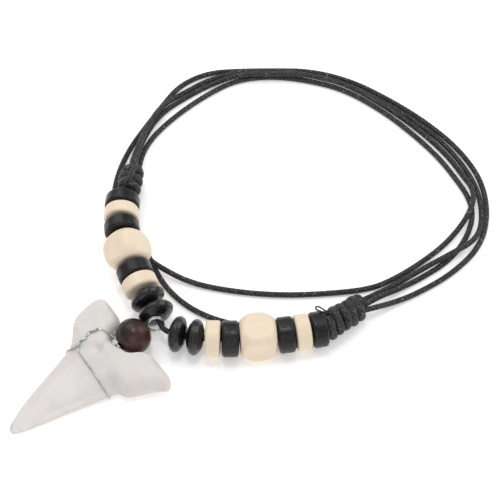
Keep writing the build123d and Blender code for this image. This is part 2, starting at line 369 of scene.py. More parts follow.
@dataclass(frozen=True)
class Braid:
    """How the strands of a round cord lie.

    Args:
        strands: strands that run each way round.
        lay: length of one strand's turn round the cord, in millimetres.
        depth: how far the strands' edges lie below their crowns, as a share of the radius.
        sides: points round the cord.
        step: length between rings.
        roundness: how far a crown falls towards the strand's edges, as a share of its square.
        tuck: how far a strand lies under the one that crosses over it.
    """

    strands: int = 4
    lay: float = 4.2
    depth: float = 0.15
    sides: int = 28
    step: float = 0.17
    roundness: float = 0.9
    tuck: float = 0.55

    def height(self, turn: np.ndarray, along: np.ndarray) -> np.ndarray:
        """The share of the full radius at each point of a braided cord.

        Two families of strands run round opposite ways. Each strand has a round crown, highest on
        its own line. At each crossing the strand of one family lies on top, and the next crossing
        round or along has the other family's strand on top.

        Args:
            turn: angle round the cord, in radians.
            along: length along the cord, in millimetres.

        Returns:
            The radius as a share of the cord's radius.
        """
        advance = self.strands * along / self.lay
        across = self.strands * turn / (2 * np.pi)
        families = np.stack((across + advance, across - advance))
        rows = np.round(families)
        right, left = np.sqrt(1 - np.minimum(1, (2 * (families - rows)) ** 2) * self.roundness)
        top = np.where(
            rows.sum(0) % 2 == 0,
            np.maximum(right, left - self.tuck),
            np.maximum(left, right - self.tuck),
        )
        return 1 - self.depth * (1 - top)


PLAIN_ROUND = Braid(depth=0.0, sides=14)


def tube(
    path: np.ndarray,
    radius: float,
    braid: Braid,
    reference: np.ndarray = UP,
    flatness: float = 1.0,
    taper: float = 0.0,
) -> Surface:
    """A closed tube carried along a path.

    At each point the section's two axes are at right angles to the path: one is the reference
    direction made square to the path, the other is square to both. The section is a circle, or an
    ellipse where it is flattened along the reference, times the braid's height.

    Args:
        path: points an equal distance apart.
        radius: the section's radius.
        braid: how the strands lie.
        reference: a direction, or one a point, that is never along the path.
        flatness: thickness along the reference as a share of the diameter.
        taper: length at each end over which the tube narrows to nothing.

    Returns:
        The tube, closed by a point at each end.
    """
    tangent = directions_along(path)
    square = unit(np.cross(tangent, reference))
    outward = np.cross(square, tangent)
    turn = np.arange(braid.sides) * 2 * np.pi / braid.sides
    step = float(np.linalg.norm(path[1] - path[0]))
    along = np.arange(len(path)) * step
    height = braid.height(turn[None, :], along[:, None])
    reach = radius * height
    if taper:
        from_end = np.clip(np.minimum(along, along[-1] - along) / taper, 0.02, 1)
        reach = reach * np.sqrt(from_end * (2 - from_end))[:, None]
    ring = (
        outward[:, None] * (np.cos(turn) * flatness)[None, :, None]
        + square[:, None] * np.sin(turn)[None, :, None]
    )
    points = path[:, None] + ring * reach[:, :, None]
    surface = grid(points, False, (step / (2 * np.pi * radius), 1 / braid.sides))
    crown = 1 + (height.ravel() - 1) / max(braid.depth, 0.01)
    surface.masks = {"crown": np.append(crown, (0.0, 0.0))}
    return with_poles(surface, braid.sides, path[0], path[-1])


def revolved(outline: np.ndarray, sides: int, wobble: float, seed: int) -> Surface:
    """A closed outline turned about the Z axis, with a little of the unevenness of handwork.

    The distance from the axis changes by a smooth random share as it goes round, which makes it
    smaller nearly everywhere.

    Args:
        outline: distance from the axis and place along it, going round the section.
        sides: points round the axis.
        wobble: how uneven it is, in millimetres.
        seed: picks one of the uneven shapes.

    Returns:
        A ring-shaped surface, its hole along Z.
    """
    turn = np.arange(sides) * 2 * np.pi / sides
    out, along = (np.broadcast_to(part[:, None], (len(outline), sides)) for part in outline.T)
    points = np.stack((out * np.cos(turn), out * np.sin(turn), along), 2)
    uneven = wobble * (ripple(points, 7.0, seed) - RIPPLE_CREST)
    points[..., :2] *= (1 + uneven / np.maximum(out, 1.0))[..., None]
    points[..., 2] += uneven * 0.5
    surface = grid(points, True)
    surface.own_places = surface.points.copy()
    return surface


def placed(surface: Surface, near: np.ndarray, far: np.ndarray, turn: float = 0.0) -> Surface:
    """A piece that stands on the origin along Z, moved to start at one point towards another.

    Its X axis goes level, at right angles to the way it points, and then turns about its own axis.

    Args:
        surface: the piece.
        near: where its hole begins.
        far: a point that its axis goes towards.
        turn: angle about its own axis, in degrees.

    Returns:
        The same surface, moved, with its own places kept.
    """
    axis = unit(far - near)
    level = unit(np.array((-axis[1], axis[0], 0.0)))
    angle = np.radians(turn)
    first = level * np.cos(angle) + np.cross(axis, level) * np.sin(angle)
    surface.points = near + surface.points @ np.stack((first, np.cross(axis, first), axis))
    return surface


# Materials


class Board:
    """A node tree with short calls to add and link nodes. Each call gives output sockets."""

    def __init__(self, tree: bpy.types.NodeTree) -> None:
        """Starts with an empty tree."""
        self.tree = tree
        tree.nodes.clear()

    def add(self, kind: str, inputs: dict[Any, Socket] | None = None, **settings: Any) -> Any:
        """Adds a node.

        Args:
            kind: its type, without the leading word ShaderNode.
            inputs: sockets by name or number, each with a value or another node's output.
            settings: properties of the node.

        Returns:
            The node's outputs.
        """
        node = self.tree.nodes.new(kind if kind.startswith("Node") else "ShaderNode" + kind)
        for name, value in settings.items():
            setattr(node, name, value)
        for key, value in (inputs or {}).items():
            if isinstance(value, bpy.types.NodeSocket):
                self.tree.links.new(value, node.inputs[key])
            else:
                node.inputs[key].default_value = value
        return node.outputs

    def plus(self, first: Socket, second: Socket) -> Socket:
        """Two values added."""
        return self.add("Math", {0: first, 1: second}, operation="ADD")[0]

    def minus(self, first: Socket, second: Socket) -> Socket:
        """The second value taken from the first."""
        return self.add("Math", {0: first, 1: second}, operation="SUBTRACT")[0]

    def times(self, first: Socket, second: Socket) -> Socket:
        """Two values multiplied."""
        return self.add("Math", {0: first, 1: second}, operation="MULTIPLY")[0]

    def mix(self, factor: Socket, first: Socket, second: Socket) -> Socket:
        """A colour between two others."""
        return self.add("Mix", {0: factor, 6: first, 7: second}, data_type="RGBA")[2]

    def between(
        self, value: Socket, low: float, high: float, out_low: float = 0.0, out_high: float = 1.0
    ) -> Socket:
        """A value moved smoothly from one range to another and held at its ends."""
        inputs = {0: value, 1: low, 2: high, 3: out_low, 4: out_high}
        return self.add("MapRange", inputs, interpolation_type="SMOOTHSTEP")[0]

    def range(self, value: Socket, out_low: float, out_high: float) -> Socket:
        """A mask moved to another range."""
        return self.between(value, 0.0, 1.0, out_low, out_high)

    def noise(self, place: Socket, scale: float, detail: float = 3.0, roughness: float = 0.5) -> Socket:
        """A cloudy value from 0 to 1."""
        inputs = {"Vector": place, "Scale": scale, "Detail": detail, "Roughness": roughness}
        return self.add("TexNoise", inputs)["Fac"]

    def scaled(self, place: Socket, factor: Socket) -> Socket:
        """A place times a factor."""
        return self.add("VectorMath", {0: place, "Scale": factor}, operation="SCALE")[0]

    def drawn(self, place: Socket, scale: Place, turn: Place = (0.0, 0.0, 0.0)) -> Socket:
        """A place turned by angles and then stretched along each axis."""
        return self.add("Mapping", {0: place, 2: turn, 3: scale})[0]

    def carried(self, name: str, output: str = "Fac") -> Socket:
        """What the mesh carries under a name."""
        return self.add("Attribute", attribute_name=name)[output]

    def use(self, tree: bpy.types.NodeTree, first: Socket, second: Socket) -> Any:
        """A shared group's outputs."""
        return self.add("Group", {0: first, 1: second}, node_tree=tree)

    def bump(self, height: Socket, strength: float, distance: float) -> Socket:
        """The surface's direction with a height's small bumps, the distance in metres."""
        return self.add("Bump", {"Height": height, "Strength": strength, "Distance": distance})[0]

    def finish(self, inputs: dict[str, Socket]) -> None:
        """Adds the surface shader with its sockets, and the output."""
        self.add("OutputMaterial", {0: self.add("BsdfPrincipled", inputs)[0]})


def colour(red: float, green: float, blue: float) -> Colour:
    """A solid colour for a socket, in linear light."""
    return (red, green, blue, 1.0)


def shared_group(
    title: str,
    inputs: dict[str, str],
    outputs: tuple[str, ...],
    rule: Callable[[Board, Any], tuple[Socket, ...]],
) -> bpy.types.ShaderNodeTree:
    """Makes a node group whose outputs are masks, values and heights.

    Args:
        title: the group's name.
        inputs: socket name to its kind.
        outputs: socket names.
        rule: adds the nodes on a board, from the inputs, and gives one socket for each output.

    Returns:
        The group.
    """
    tree = bpy.data.node_groups.new(title, "ShaderNodeTree")
    for name, kind in inputs.items():
        tree.interface.new_socket(name=name, in_out="INPUT", socket_type="NodeSocket" + kind)
    for name in outputs:
        tree.interface.new_socket(name=name, in_out="OUTPUT", socket_type="NodeSocketFloat")
    board = Board(tree)
    board.add("NodeGroupOutput", dict(enumerate(rule(board, board.add("NodeGroupInput")))))
    return tree


def handling(board: Board, given: Any) -> tuple[Socket, ...]:
    """Smudges, dust and tiny marks that handling leaves.

    Args:
        board: the group's board.
        given: its inputs, a place and a scale.

    Returns:
        A smudge mask, a fleck mask and a height.
    """
    place = board.scaled(given[0], given[1])
    return (
        board.between(board.noise(place, 0.55, 4.0, 0.6), 0.42, 0.68),
        board.between(board.noise(place, 5.5, 2.0), 0.70, 0.76),
        board.noise(place, 2.6, 4.0, 0.6),
    )


def wood_grain(board: Board, given: Any) -> tuple[Socket, ...]:
    """Wood grain along the place's X axis.

    Args:
        board: the group's board.
        given: its inputs, a place and a scale.

    Returns:
        A band mask, a pore mask and a height.
    """
    place = board.scaled(given[0], given[1])
    drawn = board.drawn(place, (0.12, 1.0, 1.0))
    bent = board.noise(place, 0.35, 2.0)
    sideways = board.add("CombineXYZ", {1: bent, 2: bent})[0]
    shifted = board.add("VectorMath", {0: drawn, 1: sideways}, operation="ADD")[0]
    band = board.noise(shifted, 2.4, 4.0, 0.65)
    pore = board.between(board.noise(board.drawn(place, (0.35, 5.0, 5.0)), 2.2, 2.0), 0.60, 0.72)
    return board.between(band, 0.34, 0.66), pore, board.minus(band, board.times(pore, 0.6))


def fine_fibres(board: Board, given: Any) -> tuple[Socket, ...]:
    """Fine slanted fibres on a strand, from its own pattern places, with loose ones among them.

    Args:
        board: the group's board.
        given: its inputs, a pattern place and an object place.

    Returns:
        A light mask and a height.
    """
    slanted = board.drawn(given[0], (26.0, 5.0, 1.0), (0.0, 0.0, 0.75))
    threads = board.noise(slanted, 2.0, 3.0, 0.6)
    loose = board.noise(given[1], 3200.0, 2.0, 0.7)
    light = board.between(board.times(threads, loose), 0.22, 0.40)
    return light, board.plus(threads, board.times(loose, 0.5))


@dataclass(frozen=True)
class Effects:
    """The shared node groups."""

    handling: bpy.types.ShaderNodeTree
    grain: bpy.types.ShaderNodeTree
    fibres: bpy.types.ShaderNodeTree

    @classmethod
    def made(cls) -> "Effects":
        """Makes the three groups.

        Returns:
            The groups together.
        """
        scaled = {"Place": "Vector", "Scale": "Float"}
        patterned = {"Pattern": "Vector", "Place": "Vector"}
        return cls(
            shared_group("handling", scaled, ("Smudge", "Fleck", "Height"), handling),
            shared_group("wood grain", scaled, ("Band", "Pore", "Height"), wood_grain),
            shared_group("fibres", patterned, ("Light", "Height"), fine_fibres),
        )


def new_material(name: str) -> tuple[bpy.types.Material, Board]:
    """An empty material and the board of its nodes.

    Args:
        name: the material's name.

    Returns:
        The material and its board.
    """
    material = bpy.data.materials.new(name)
    material.use_nodes = True
    return material, Board(material.node_tree)


@dataclass(frozen=True)
class Finish:
    """What a material slot looks like. Each kind works out the surface shader's sockets."""

    name: str

    def make(self, effects: Effects) -> bpy.types.Material:
        """Builds the material.

        Args:
            effects: the shared groups.

        Returns:
            The material.
        """
        material, board = new_material(self.name)
        board.finish(self.sockets(board, effects))
        return material

    def sockets(self, board: Board, effects: Effects) -> dict[str, Socket]:
        """The surface shader's sockets by name, from the shared groups and the mesh's masks.

        Args:
            board: the material's board.
            effects: the shared groups.

        Returns:
            Values or links by socket name.
        """
        raise NotImplementedError


@dataclass(frozen=True)
class Lacquer(Finish):
    """Black lacquer over turned wood: glossy, a little uneven, with dust and thin places."""

    name: str = "black_lacquer"
    deep: Colour = colour(0.0026, 0.0025, 0.0030)
    thin: Colour = colour(0.013, 0.0121, 0.0128)
    dust: Colour = colour(0.16, 0.155, 0.16)

    def sockets(self, board: Board, effects: Effects) -> dict[str, Socket]:
        """Thin places follow the grain; the gloss mask makes a bead smoother and its coat thicker.

        Args:
            board: the material's board.
            effects: the shared groups.

        Returns:
            Values or links by socket name.
        """
        own, gloss = board.carried("own_place", "Vector"), board.carried("gloss")
        smudge, fleck, marks = board.use(effects.handling, own, 1.0)
        band, _, grain = board.use(effects.grain, own, 0.9)
        base = board.mix(band, self.deep, self.thin)
        return {
            "Base Color": board.mix(board.times(fleck, 0.75), base, self.dust),
            "Roughness": board.times(board.range(smudge, 0.26, 0.44), board.range(gloss, 1.0, 0.75)),
            "Normal": board.bump(board.plus(board.times(grain, 0.7), marks), 0.42, 0.00008),
            "Coat Weight": board.range(gloss, 0.05, 0.42),
            "Coat Roughness": 0.10,
            "Specular IOR Level": 0.34,
        }


@dataclass(frozen=True)
class PaleWood(Finish):
    """Pale close-grained wood, sanded smooth and waxed."""

    name: str = "pale_wood"
    light: Colour = colour(0.88, 0.745, 0.575)
    dark: Colour = colour(0.835, 0.69, 0.515)
    pore: Colour = colour(0.60, 0.43, 0.28)
    blush: Colour = colour(0.78, 0.56, 0.40)

    def sockets(self, board: Board, effects: Effects) -> dict[str, Socket]:
        """Light and dark bands with fine pores, and a large faint blush.

        Args:
            board: the material's board.
            effects: the shared groups.

        Returns:
            Values or links by socket name.
        """
        own = board.carried("own_place", "Vector")
        band, pore, grain = board.use(effects.grain, own, 0.8)
        smudge, _, marks = board.use(effects.handling, own, 0.6)
        base = board.mix(band, self.light, self.dark)
        base = board.mix(board.times(pore, 0.22), base, self.pore)
        stain = board.between(board.noise(own, 0.22, 2.0), 0.58, 0.78, 0.0, 0.5)
        return {
            "Base Color": board.mix(stain, base, self.blush),
            "Roughness": board.range(smudge, 0.42, 0.58),
            "Normal": board.bump(board.plus(grain, board.times(marks, 0.3)), 0.2, 0.00004),
            "Specular IOR Level": 0.4,
            "Coat Weight": 0.08,
            "Coat Roughness": 0.35,
        }


@dataclass(frozen=True)
class DarkWood(Finish):
    """Polished dark wood, mottled from reddish brown to nearly black, with painted shade that turns its left
    side nearly black.
    """

    name: str = "brown_wood"
    red: Colour = colour(0.034, 0.0105, 0.0085)
    black: Colour = colour(0.010, 0.0065, 0.006)
    streak: Colour = colour(0.095, 0.036, 0.026)

    def sockets(self, board: Board, effects: Effects) -> dict[str, Socket]:
        """Painted shade makes the left side of a cloudy line across the bead nearly black; the other side is
        streaked.

        Args:
            board: the material's board.
            effects: the shared groups.

        Returns:
            Values or links by socket name.
        """
        own = board.carried("own_place", "Vector")
        band, _, grain = board.use(effects.grain, own, 0.9)
        smudge = board.use(effects.handling, own, 0.8)[0]
        # Painted shade: the bead's left side, at low X, is darkened to nearly black; the cloudy noise on the
        # line is the wood's own mottling
        side = board.add("SeparateXYZ", {0: own})[0]
        dark = board.between(board.plus(side, board.times(board.noise(own, 0.3), 6.0)), 1.4, 5.0, 1.0, 0.0)
        base = board.mix(dark, self.red, self.black)
        base = board.mix(board.times(band, 0.45), base, self.streak)
        return {
            # Painted shade again darkens the left side towards black
            "Base Color": board.mix(dark, base, board.mix(0.75, base, self.black)),
            "Roughness": board.range(smudge, 0.30, 0.46),
            "Normal": board.bump(grain, 0.25, 0.00005),
            "Specular IOR Level": 0.32,
            "Coat Weight": 0.14,
            "Coat Roughness": 0.22,
        }


@dataclass(frozen=True)
class WaxedCord(Finish):
    """Charcoal waxed cotton, with lighter fibres on the crowns of its strands, painted shade between the
    strands and painted glints on the crowns.
    """

    name: str = "waxed_cord"
    valley_shade: Colour = colour(0.004, 0.0038, 0.0042)
    deep: Colour = colour(0.0085, 0.008, 0.009)
    worn: Colour = colour(0.024, 0.0225, 0.025)
    fibre: Colour = colour(0.14, 0.134, 0.14)
    painted_glint: Colour = colour(0.24, 0.23, 0.24)

    def sockets(self, board: Board, effects: Effects) -> dict[str, Socket]:
        """Painted shade between the strands, with fibres and painted glints, small bright flecks, where the
        crown mask is high.

        Args:
            board: the material's board.
            effects: the shared groups.

        Returns:
            Values or links by socket name.
        """
        place = board.add("TexCoord")["Object"]
        light, threads = board.use(effects.fibres, board.add("UVMap", uv_map="along")[0], place)
        crown = board.carried("crown")
        cloudy = board.between(board.noise(place, 260.0), 0.35, 0.7)
        raised = board.between(crown, 0.55, 0.98, 0.15, 1.0)
        base = board.mix(cloudy, self.deep, self.worn)
        # Painted shade: darker in the valleys between the strands, where the crown mask is low
        base = board.mix(board.between(crown, 0.35, 0.9, 0.75, 0.0), base, self.valley_shade)
        base = board.mix(board.times(light, raised), base, self.fibre)
        # Painted glints: small bright flecks on the crowns stand in for tiny highlights
        fleck = board.between(board.noise(place, 1500.0, 2.0, 0.6), 0.58, 0.72, 0.0, 0.9)
        return {
            "Base Color": board.mix(board.times(fleck, raised), base, self.painted_glint),
            "Roughness": board.range(cloudy, 0.50, 0.72),
            "Normal": board.bump(threads, 0.7, 0.00008),
            "Specular IOR Level": 0.3,
            "Sheen Weight": 0.08,
            "Sheen Roughness": 0.5,
        }


@dataclass(frozen=True)
class SilverWire(Finish):
    """Thin silver-coloured wire with drawing lines and small dull patches."""

    name: str = "silver_wire"
    bright: Colour = colour(0.62, 0.62, 0.61)
    dull: Colour = colour(0.30, 0.295, 0.29)

    def sockets(self, board: Board, effects: Effects) -> dict[str, Socket]:
        """Dull where it is smudged, with fine lines along the wire.

        Args:
            board: the material's board.
            effects: the shared groups.

        Returns:
            Values or links by socket name.
        """
        place = board.scaled(board.add("TexCoord")["Object"], 1 / METRES)
        smudge = board.use(effects.handling, place, 1.6)[0]
        lines = board.drawn(board.add("UVMap", uv_map="along")[0], (40.0, 0.4, 1.0))
        return {
            "Base Color": board.mix(smudge, self.bright, self.dull),
            "Metallic": 1.0,
            "Roughness": board.range(smudge, 0.16, 0.34),
            "Normal": board.bump(board.noise(lines, 1.0, 2.0), 0.2, 0.00002),
        }


@dataclass(frozen=True)
class ToothFinish(Finish):
    """Bleached tooth: satin crown, chalkier root with pores, faint pink and grey patches."""

    name: str = "tooth"
    crown: Colour = colour(0.755, 0.725, 0.705)
    root: Colour = colour(0.735, 0.705, 0.675)
    pink: Colour = colour(0.76, 0.665, 0.64)
    flesh: Colour = colour(0.66, 0.50, 0.47)
    grey: Colour = colour(0.60, 0.585, 0.57)
    brown: Colour = colour(0.40, 0.30, 0.22)

    def sockets(self, board: Board, effects: Effects) -> dict[str, Socket]:
        """Patches laid one over another: pink, grey, painted shade across the neck, the groove, tip spots
        and pores.

        Args:
            board: the material's board.
            effects: the shared groups.

        Returns:
            Values or links by socket name.
        """
        own = board.carried("own_place", "Vector")
        root, groove, neck, tip = (
            board.carried(part + "_mask") for part in ("root", "groove", "neck", "tip")
        )
        marks = board.use(effects.handling, own, 0.55)[2]
        drawn = board.drawn(own, (1.1, 0.22, 0.6))
        spots = board.between(board.noise(own, 1.3, 3.0, 0.6), 0.52, 0.68)
        holes = board.add("TexVoronoi", {"Vector": own, "Scale": 1.5}, feature="F1")["Distance"]
        rare = board.between(board.noise(own, 0.6, 1.0), 0.54, 0.64, 0.0, 0.5)
        pore = board.times(board.times(board.between(holes, 0.03, 0.13, 1.0, 0.0), root), rare)
        base = board.mix(root, self.crown, self.root)
        for amount, patch in (
            (board.between(board.noise(own, 0.16, 3.0, 0.55), 0.45, 0.70, 0.0, 0.55), self.pink),
            (board.between(board.noise(drawn, 0.75, 4.0, 0.6), 0.48, 0.80, 0.0, 0.40), self.grey),
            # Painted shade: the neck mask greys the tooth's middle, on both sides of the wire
            (board.times(neck, 0.75), self.grey),
            (board.times(groove, 0.55), self.flesh),
            (board.times(board.times(spots, tip), 0.7), self.brown),
            (pore, self.grey),
        ):
            base = board.mix(amount, base, patch)
        chalk = board.times(board.noise(own, 3.2, 5.0, 0.65), board.range(root, 0.25, 1.0))
        waves = board.plus(board.times(board.noise(drawn, 1.2), 0.8), chalk)
        height = board.minus(board.plus(waves, marks), board.times(pore, 2.0))
        return {
            "Base Color": base,
            "Roughness": board.range(root, 0.36, 0.58),
            "Normal": board.bump(height, 0.4, 0.00012),
            "Subsurface Weight": 0.25,
            "Subsurface Radius": (1.0, 0.7, 0.55),
            "Subsurface Scale": 0.0008,
            "Specular IOR Level": 0.45,
        }


def mixed_palette() -> Palette:
    """Makes the shared groups and every finish.

    Returns:
        The materials by slot.
    """
    effects = Effects.made()
    finishes = (Lacquer(), PaleWood(), DarkWood(), WaxedCord(), SilverWire(), ToothFinish())
    return {finish.name: finish.make(effects) for finish in finishes}


# The beads and their string


class Shape(Enum):
    """What is threaded on the string, by the word for it in the nodes' names."""

    DISC = "disc"
    RONDELLE = "rondelle"
    CUBE = "cube"
    LEFT_KNOT = "left_knot"
    RIGHT_KNOT = "right_knot"


@dataclass(frozen=True)
class Threaded:
    """A bead or knot on the string.

    Args:
        node: the CAD node that it stands for.
        heading: the string's heading through it, in degrees.
        height: the string's height at its outer end.
        extra: how much thicker than its like it is.
    """

    node: str
    heading: float
    height: float
    extra: float = 0.0

    @property
    def shape(self) -> Shape:
        """What its node's name says that it is."""
        return next(shape for shape in Shape if shape.value in self.node)


@dataclass(frozen=True)
class Span:
    """Where a threaded piece begins and ends."""

    near: np.ndarray
    far: np.ndarray

    @property
    def way(self) -> np.ndarray:
        """The direction from its beginning to its end."""
        return unit(self.far - self.near)


def step_to(point: np.ndarray, heading: float, length: float, height: float) -> np.ndarray:
    """The point a given length further along a heading, at a new height.

    Args:
        point: where it starts.
        heading: angle from the X axis, in degrees.
        length: the straight distance to the new point.
        height: the new point's height.

    Returns:
        The new point.
    """
    level = np.sqrt(length**2 - (height - point[2]) ** 2)
    angle = np.radians(heading)
    return np.array((point[0] + level * np.cos(angle), point[1] + level * np.sin(angle), height))


# Outward from the eye: name, heading, and the share of its climb over the cord below that the
# string has made
LEFT_BEADS = (
    ("rondelle_1", 160, 0.15), ("rondelle_2", 166, 0.40), ("pale_disc_3", 158, 0.70),
    ("black_disc_4", 156, 1.00), ("cube_5", 152, 1.00), ("black_disc_6", 143, 1.00),
    ("pale_disc_7", 136, 0.86), ("black_disc_8", 134, 0.60),
)
# Outward from the eye: name, heading, and how much thicker it is than its like
RIGHT_BEADS = (
    ("rondelle_1", 31, 0.0), ("rondelle_2", 36, 0.0), ("pale_disc_3", 43, 0.0),
    ("black_disc_4", 47, 0.36), ("cube_5", 50, 0.36), ("black_disc_6", 53, 0.28),
    ("pale_disc_7", 56, 0.0), ("black_disc_8", 58, 0.0),
)


@dataclass
class BeadString:
    """The beads in two rows that meet at the wire eye, and the string through them.

    Rows, starts and spans come in twos, the left side first.
    """

    palette: Palette
    cord_diameter: float = 1.2
    bore_radius: float = 0.8
    string_gap: float = 0.1
    crossing_gap: float = 0.2
    floor_gap: float = 0.02
    disc_diameter: float = 7.66
    disc_length: float = 3.2
    disc_rim: float = 0.9
    disc_rounding: float = 0.62
    disc_dome: float = 0.06
    rondelle_diameter: float = 7.9
    rondelle_length: float = 3.5
    cube_side: float = 7.7
    cube_ball_radius: float = 5.0
    cube_ball_blend: float = 0.4
    cube_edge_rounding: float = 1.0
    edge_cube_wider: float = 0.055
    edge_cube_lower: float = 0.072
    knot_lengths: tuple[float, float] = (10.2, 10.0)
    knot_headings: tuple[float, float] = (126, 84)
    knot_far_heights: tuple[float, float] = (3.35, 2.7)
    inside_knots: tuple[float, float] = (4.8, 4.5)
    bend: tuple[float, float] = (2.0, 5.95)
    left_bare: tuple[float, float] = (146.0, 1.3)
    right_bare: tuple[float, float] = (-6.0, 2.2)
    sides_round: int = 96

    def __post_init__(self) -> None:
        """Works out both rows' places from the headings and heights."""
        floor, level = self.rondelle_diameter / 2 + self.floor_gap, self.cube_side / 2
        rise = self.cord_diameter + self.crossing_gap + self.disc_diameter / 2 - floor
        left = [
            Threaded("left_" + name, heading, floor + climb * rise)
            for name, heading, climb in LEFT_BEADS
        ]
        right = [
            Threaded("right_" + name, heading, level if name in ("black_disc_4", "cube_5") else floor, extra)
            for name, heading, extra in RIGHT_BEADS
        ]
        left.append(Threaded("left_knot", self.knot_headings[0], self.knot_far_heights[0]))
        right.append(Threaded("right_knot", self.knot_headings[1], self.knot_far_heights[1]))
        self.rows = (left, right)
        self.bend_point = np.array((*self.bend, floor))
        self.starts = [step_to(self.bend_point, *bare, floor) for bare in (self.left_bare, self.right_bare)]
        self.spans = [self.walk(start, rows) for start, rows in zip(self.starts, self.rows)]

    def walk(self, bare_end: np.ndarray, rows: list[Threaded]) -> list[Span]:
        """Where each piece of one side begins and ends, from the eye outward.

        Args:
            bare_end: where the bare string ends.
            rows: the pieces in order.

        Returns:
            A span for each piece. Two pieces at a turn touch at their inner rims, so the space at
            their holes grows with the turn.
        """
        lengths = {
            Shape.DISC: self.disc_length,
            Shape.RONDELLE: self.rondelle_length,
            Shape.CUBE: self.cube_side,
            Shape.LEFT_KNOT: self.knot_lengths[0],
            Shape.RIGHT_KNOT: self.knot_lengths[1],
        }
        spans = []
        point = bare_end
        direction = unit(bare_end - self.bend_point)
        touch = self.cord_diameter / 2
        for row in rows:
            length = lengths[row.shape]
            straight_on = unit(step_to(point, row.heading, length, row.height) - point)
            turn = np.arccos(np.clip(direction @ straight_on, -1, 1))
            space = self.string_gap + touch * np.tan(turn)
            far = step_to(point, row.heading, space + length, row.height)
            direction = unit(far - point)
            spans.append(Span(far - direction * length, far))
            point = far
            flat = self.disc_diameter / 2 - self.disc_rim
            touch = 2 * self.bore_radius if row.shape is Shape.RONDELLE else flat
        return spans

    def disc(self, seed: int, extra: float) -> Surface:
        """A flat bead: an outline with rounded corners turned about its hole.

        Args:
            seed: picks the unevenness.
            extra: how much thicker than the others it is.

        Returns:
            The surface, standing on the origin.
        """
        bore, rim, far = self.bore_radius, self.disc_diameter / 2, self.disc_length + extra / 2
        corners = [
            (bore, -extra / 2, HOLE_ROUNDING),
            (rim, self.disc_dome - extra / 2, self.disc_rounding),
            (rim, far - self.disc_dome, self.disc_rounding),
            (bore, far, HOLE_ROUNDING),
        ]
        return revolved(rounded_outline(corners, 0.3), self.sides_round, 0.022, seed)

    def rondelle(self, seed: int) -> Surface:
        """A lens-shaped bead: sloping faces that meet in a narrow rounded rim.

        Args:
            seed: picks the unevenness.

        Returns:
            The surface, standing on the origin.
        """
        rim, length = self.rondelle_diameter / 2, self.rondelle_length
        slope = [
            (self.bore_radius, 0.0, HOLE_ROUNDING),
            (1.8, 0.05, 1.4),
            (rim - 1.15, 0.42, 1.6),
            (rim - 0.35, 0.95, 0.8),
        ]
        mirrored = [(out, length - along, radius) for out, along, radius in reversed(slope)]
        outline = rounded_outline([*slope, (rim, length / 2, 0.42), *mirrored], 0.2)
        return revolved(outline, self.sides_round, 0.03, seed)

    def cube(self, seed: int, extra: float) -> Surface:
        """A tumbled cube with a hole along Z, standing on the origin.

        Each point starts on a sharp cube, on its hole's wall, its two drilled faces or its sides.
        It is pulled in to a rounded edge: the nearest point of a smaller cube plus the rounding.
        Then its distance from the cube's centre is cut to that of a ball, with a soft change from
        the flat faces to the ball, so that each face ends in a round outline. The hole's edges
        drop in along nearly a quarter of a circle.

        Args:
            seed: picks the unevenness.
            extra: how much thicker than its length it is, upward and to both sides.

        Returns:
            The surface.
        """
        half, rounding, bore = self.cube_side / 2, self.cube_edge_rounding, self.bore_radius
        wall, face, side, columns = 9, 26, 33, 144
        out = np.concatenate(
            (np.zeros(wall), np.linspace(0, 1, face), np.ones(side), np.linspace(1, 0, face))
        )[:, None]
        rise = np.concatenate(
            (
                np.linspace(half, -half, wall + 2)[1:-1],
                np.full(face, -half),
                np.linspace(-half, half, side + 2)[1:-1],
                np.full(face, half),
            )
        )[:, None]
        turn = np.arange(columns) * 2 * np.pi / columns
        square = half / np.maximum(np.abs(np.cos(turn)), np.abs(np.sin(turn)))
        reach = bore + out * (square - bore)
        points = np.stack((reach * np.cos(turn), reach * np.sin(turn), rise + 0 * reach), 2)
        core = np.clip(points, -(half - rounding), half - rounding)
        away = points - core
        distance = np.linalg.norm(away, axis=2, keepdims=True)
        rounded = np.where(distance > TINY, core + rounding * away / np.maximum(distance, TINY), points)
        length = np.linalg.norm(rounded, axis=2, keepdims=True)
        share = np.clip(0.5 + 0.5 * (self.cube_ball_radius - length) / self.cube_ball_blend, 0, 1)
        soft = self.cube_ball_radius * (1 - share) + length * share
        soft -= self.cube_ball_blend * share * (1 - share)
        points = np.where(distance > TINY, rounded * (soft / np.maximum(length, TINY)), rounded)
        inward = np.clip(1 - (reach - bore) / HOLE_ROUNDING, 0, 1)
        drop = HOLE_ROUNDING * (1 - np.sqrt(1 - inward**2 * 0.98))
        points[..., 2] -= np.sign(points[..., 2]) * np.where(np.abs(rise) > half - 0.01, drop, 0.0)
        uneven = 0.02 * (ripple(points, 6.0, seed) - RIPPLE_CREST)
        points += uneven[..., None] * unit(points + 1e-6)
        points[..., :2] *= 1 + extra / self.cube_side
        points += (0.0, extra / 2, half)
        surface = grid(points, True)
        surface.own_places = surface.points.copy()
        return surface

    def build(self) -> None:
        """Makes the string and every bead; the knots at the rows' ends have a class of their own."""
        for side, (rows, spans) in enumerate(zip(self.rows, self.spans)):
            for number, (row, span) in enumerate(zip(rows[:-1], spans)):
                self.make_bead(row, span, 20 * side + number + 1)
        self.make_string()

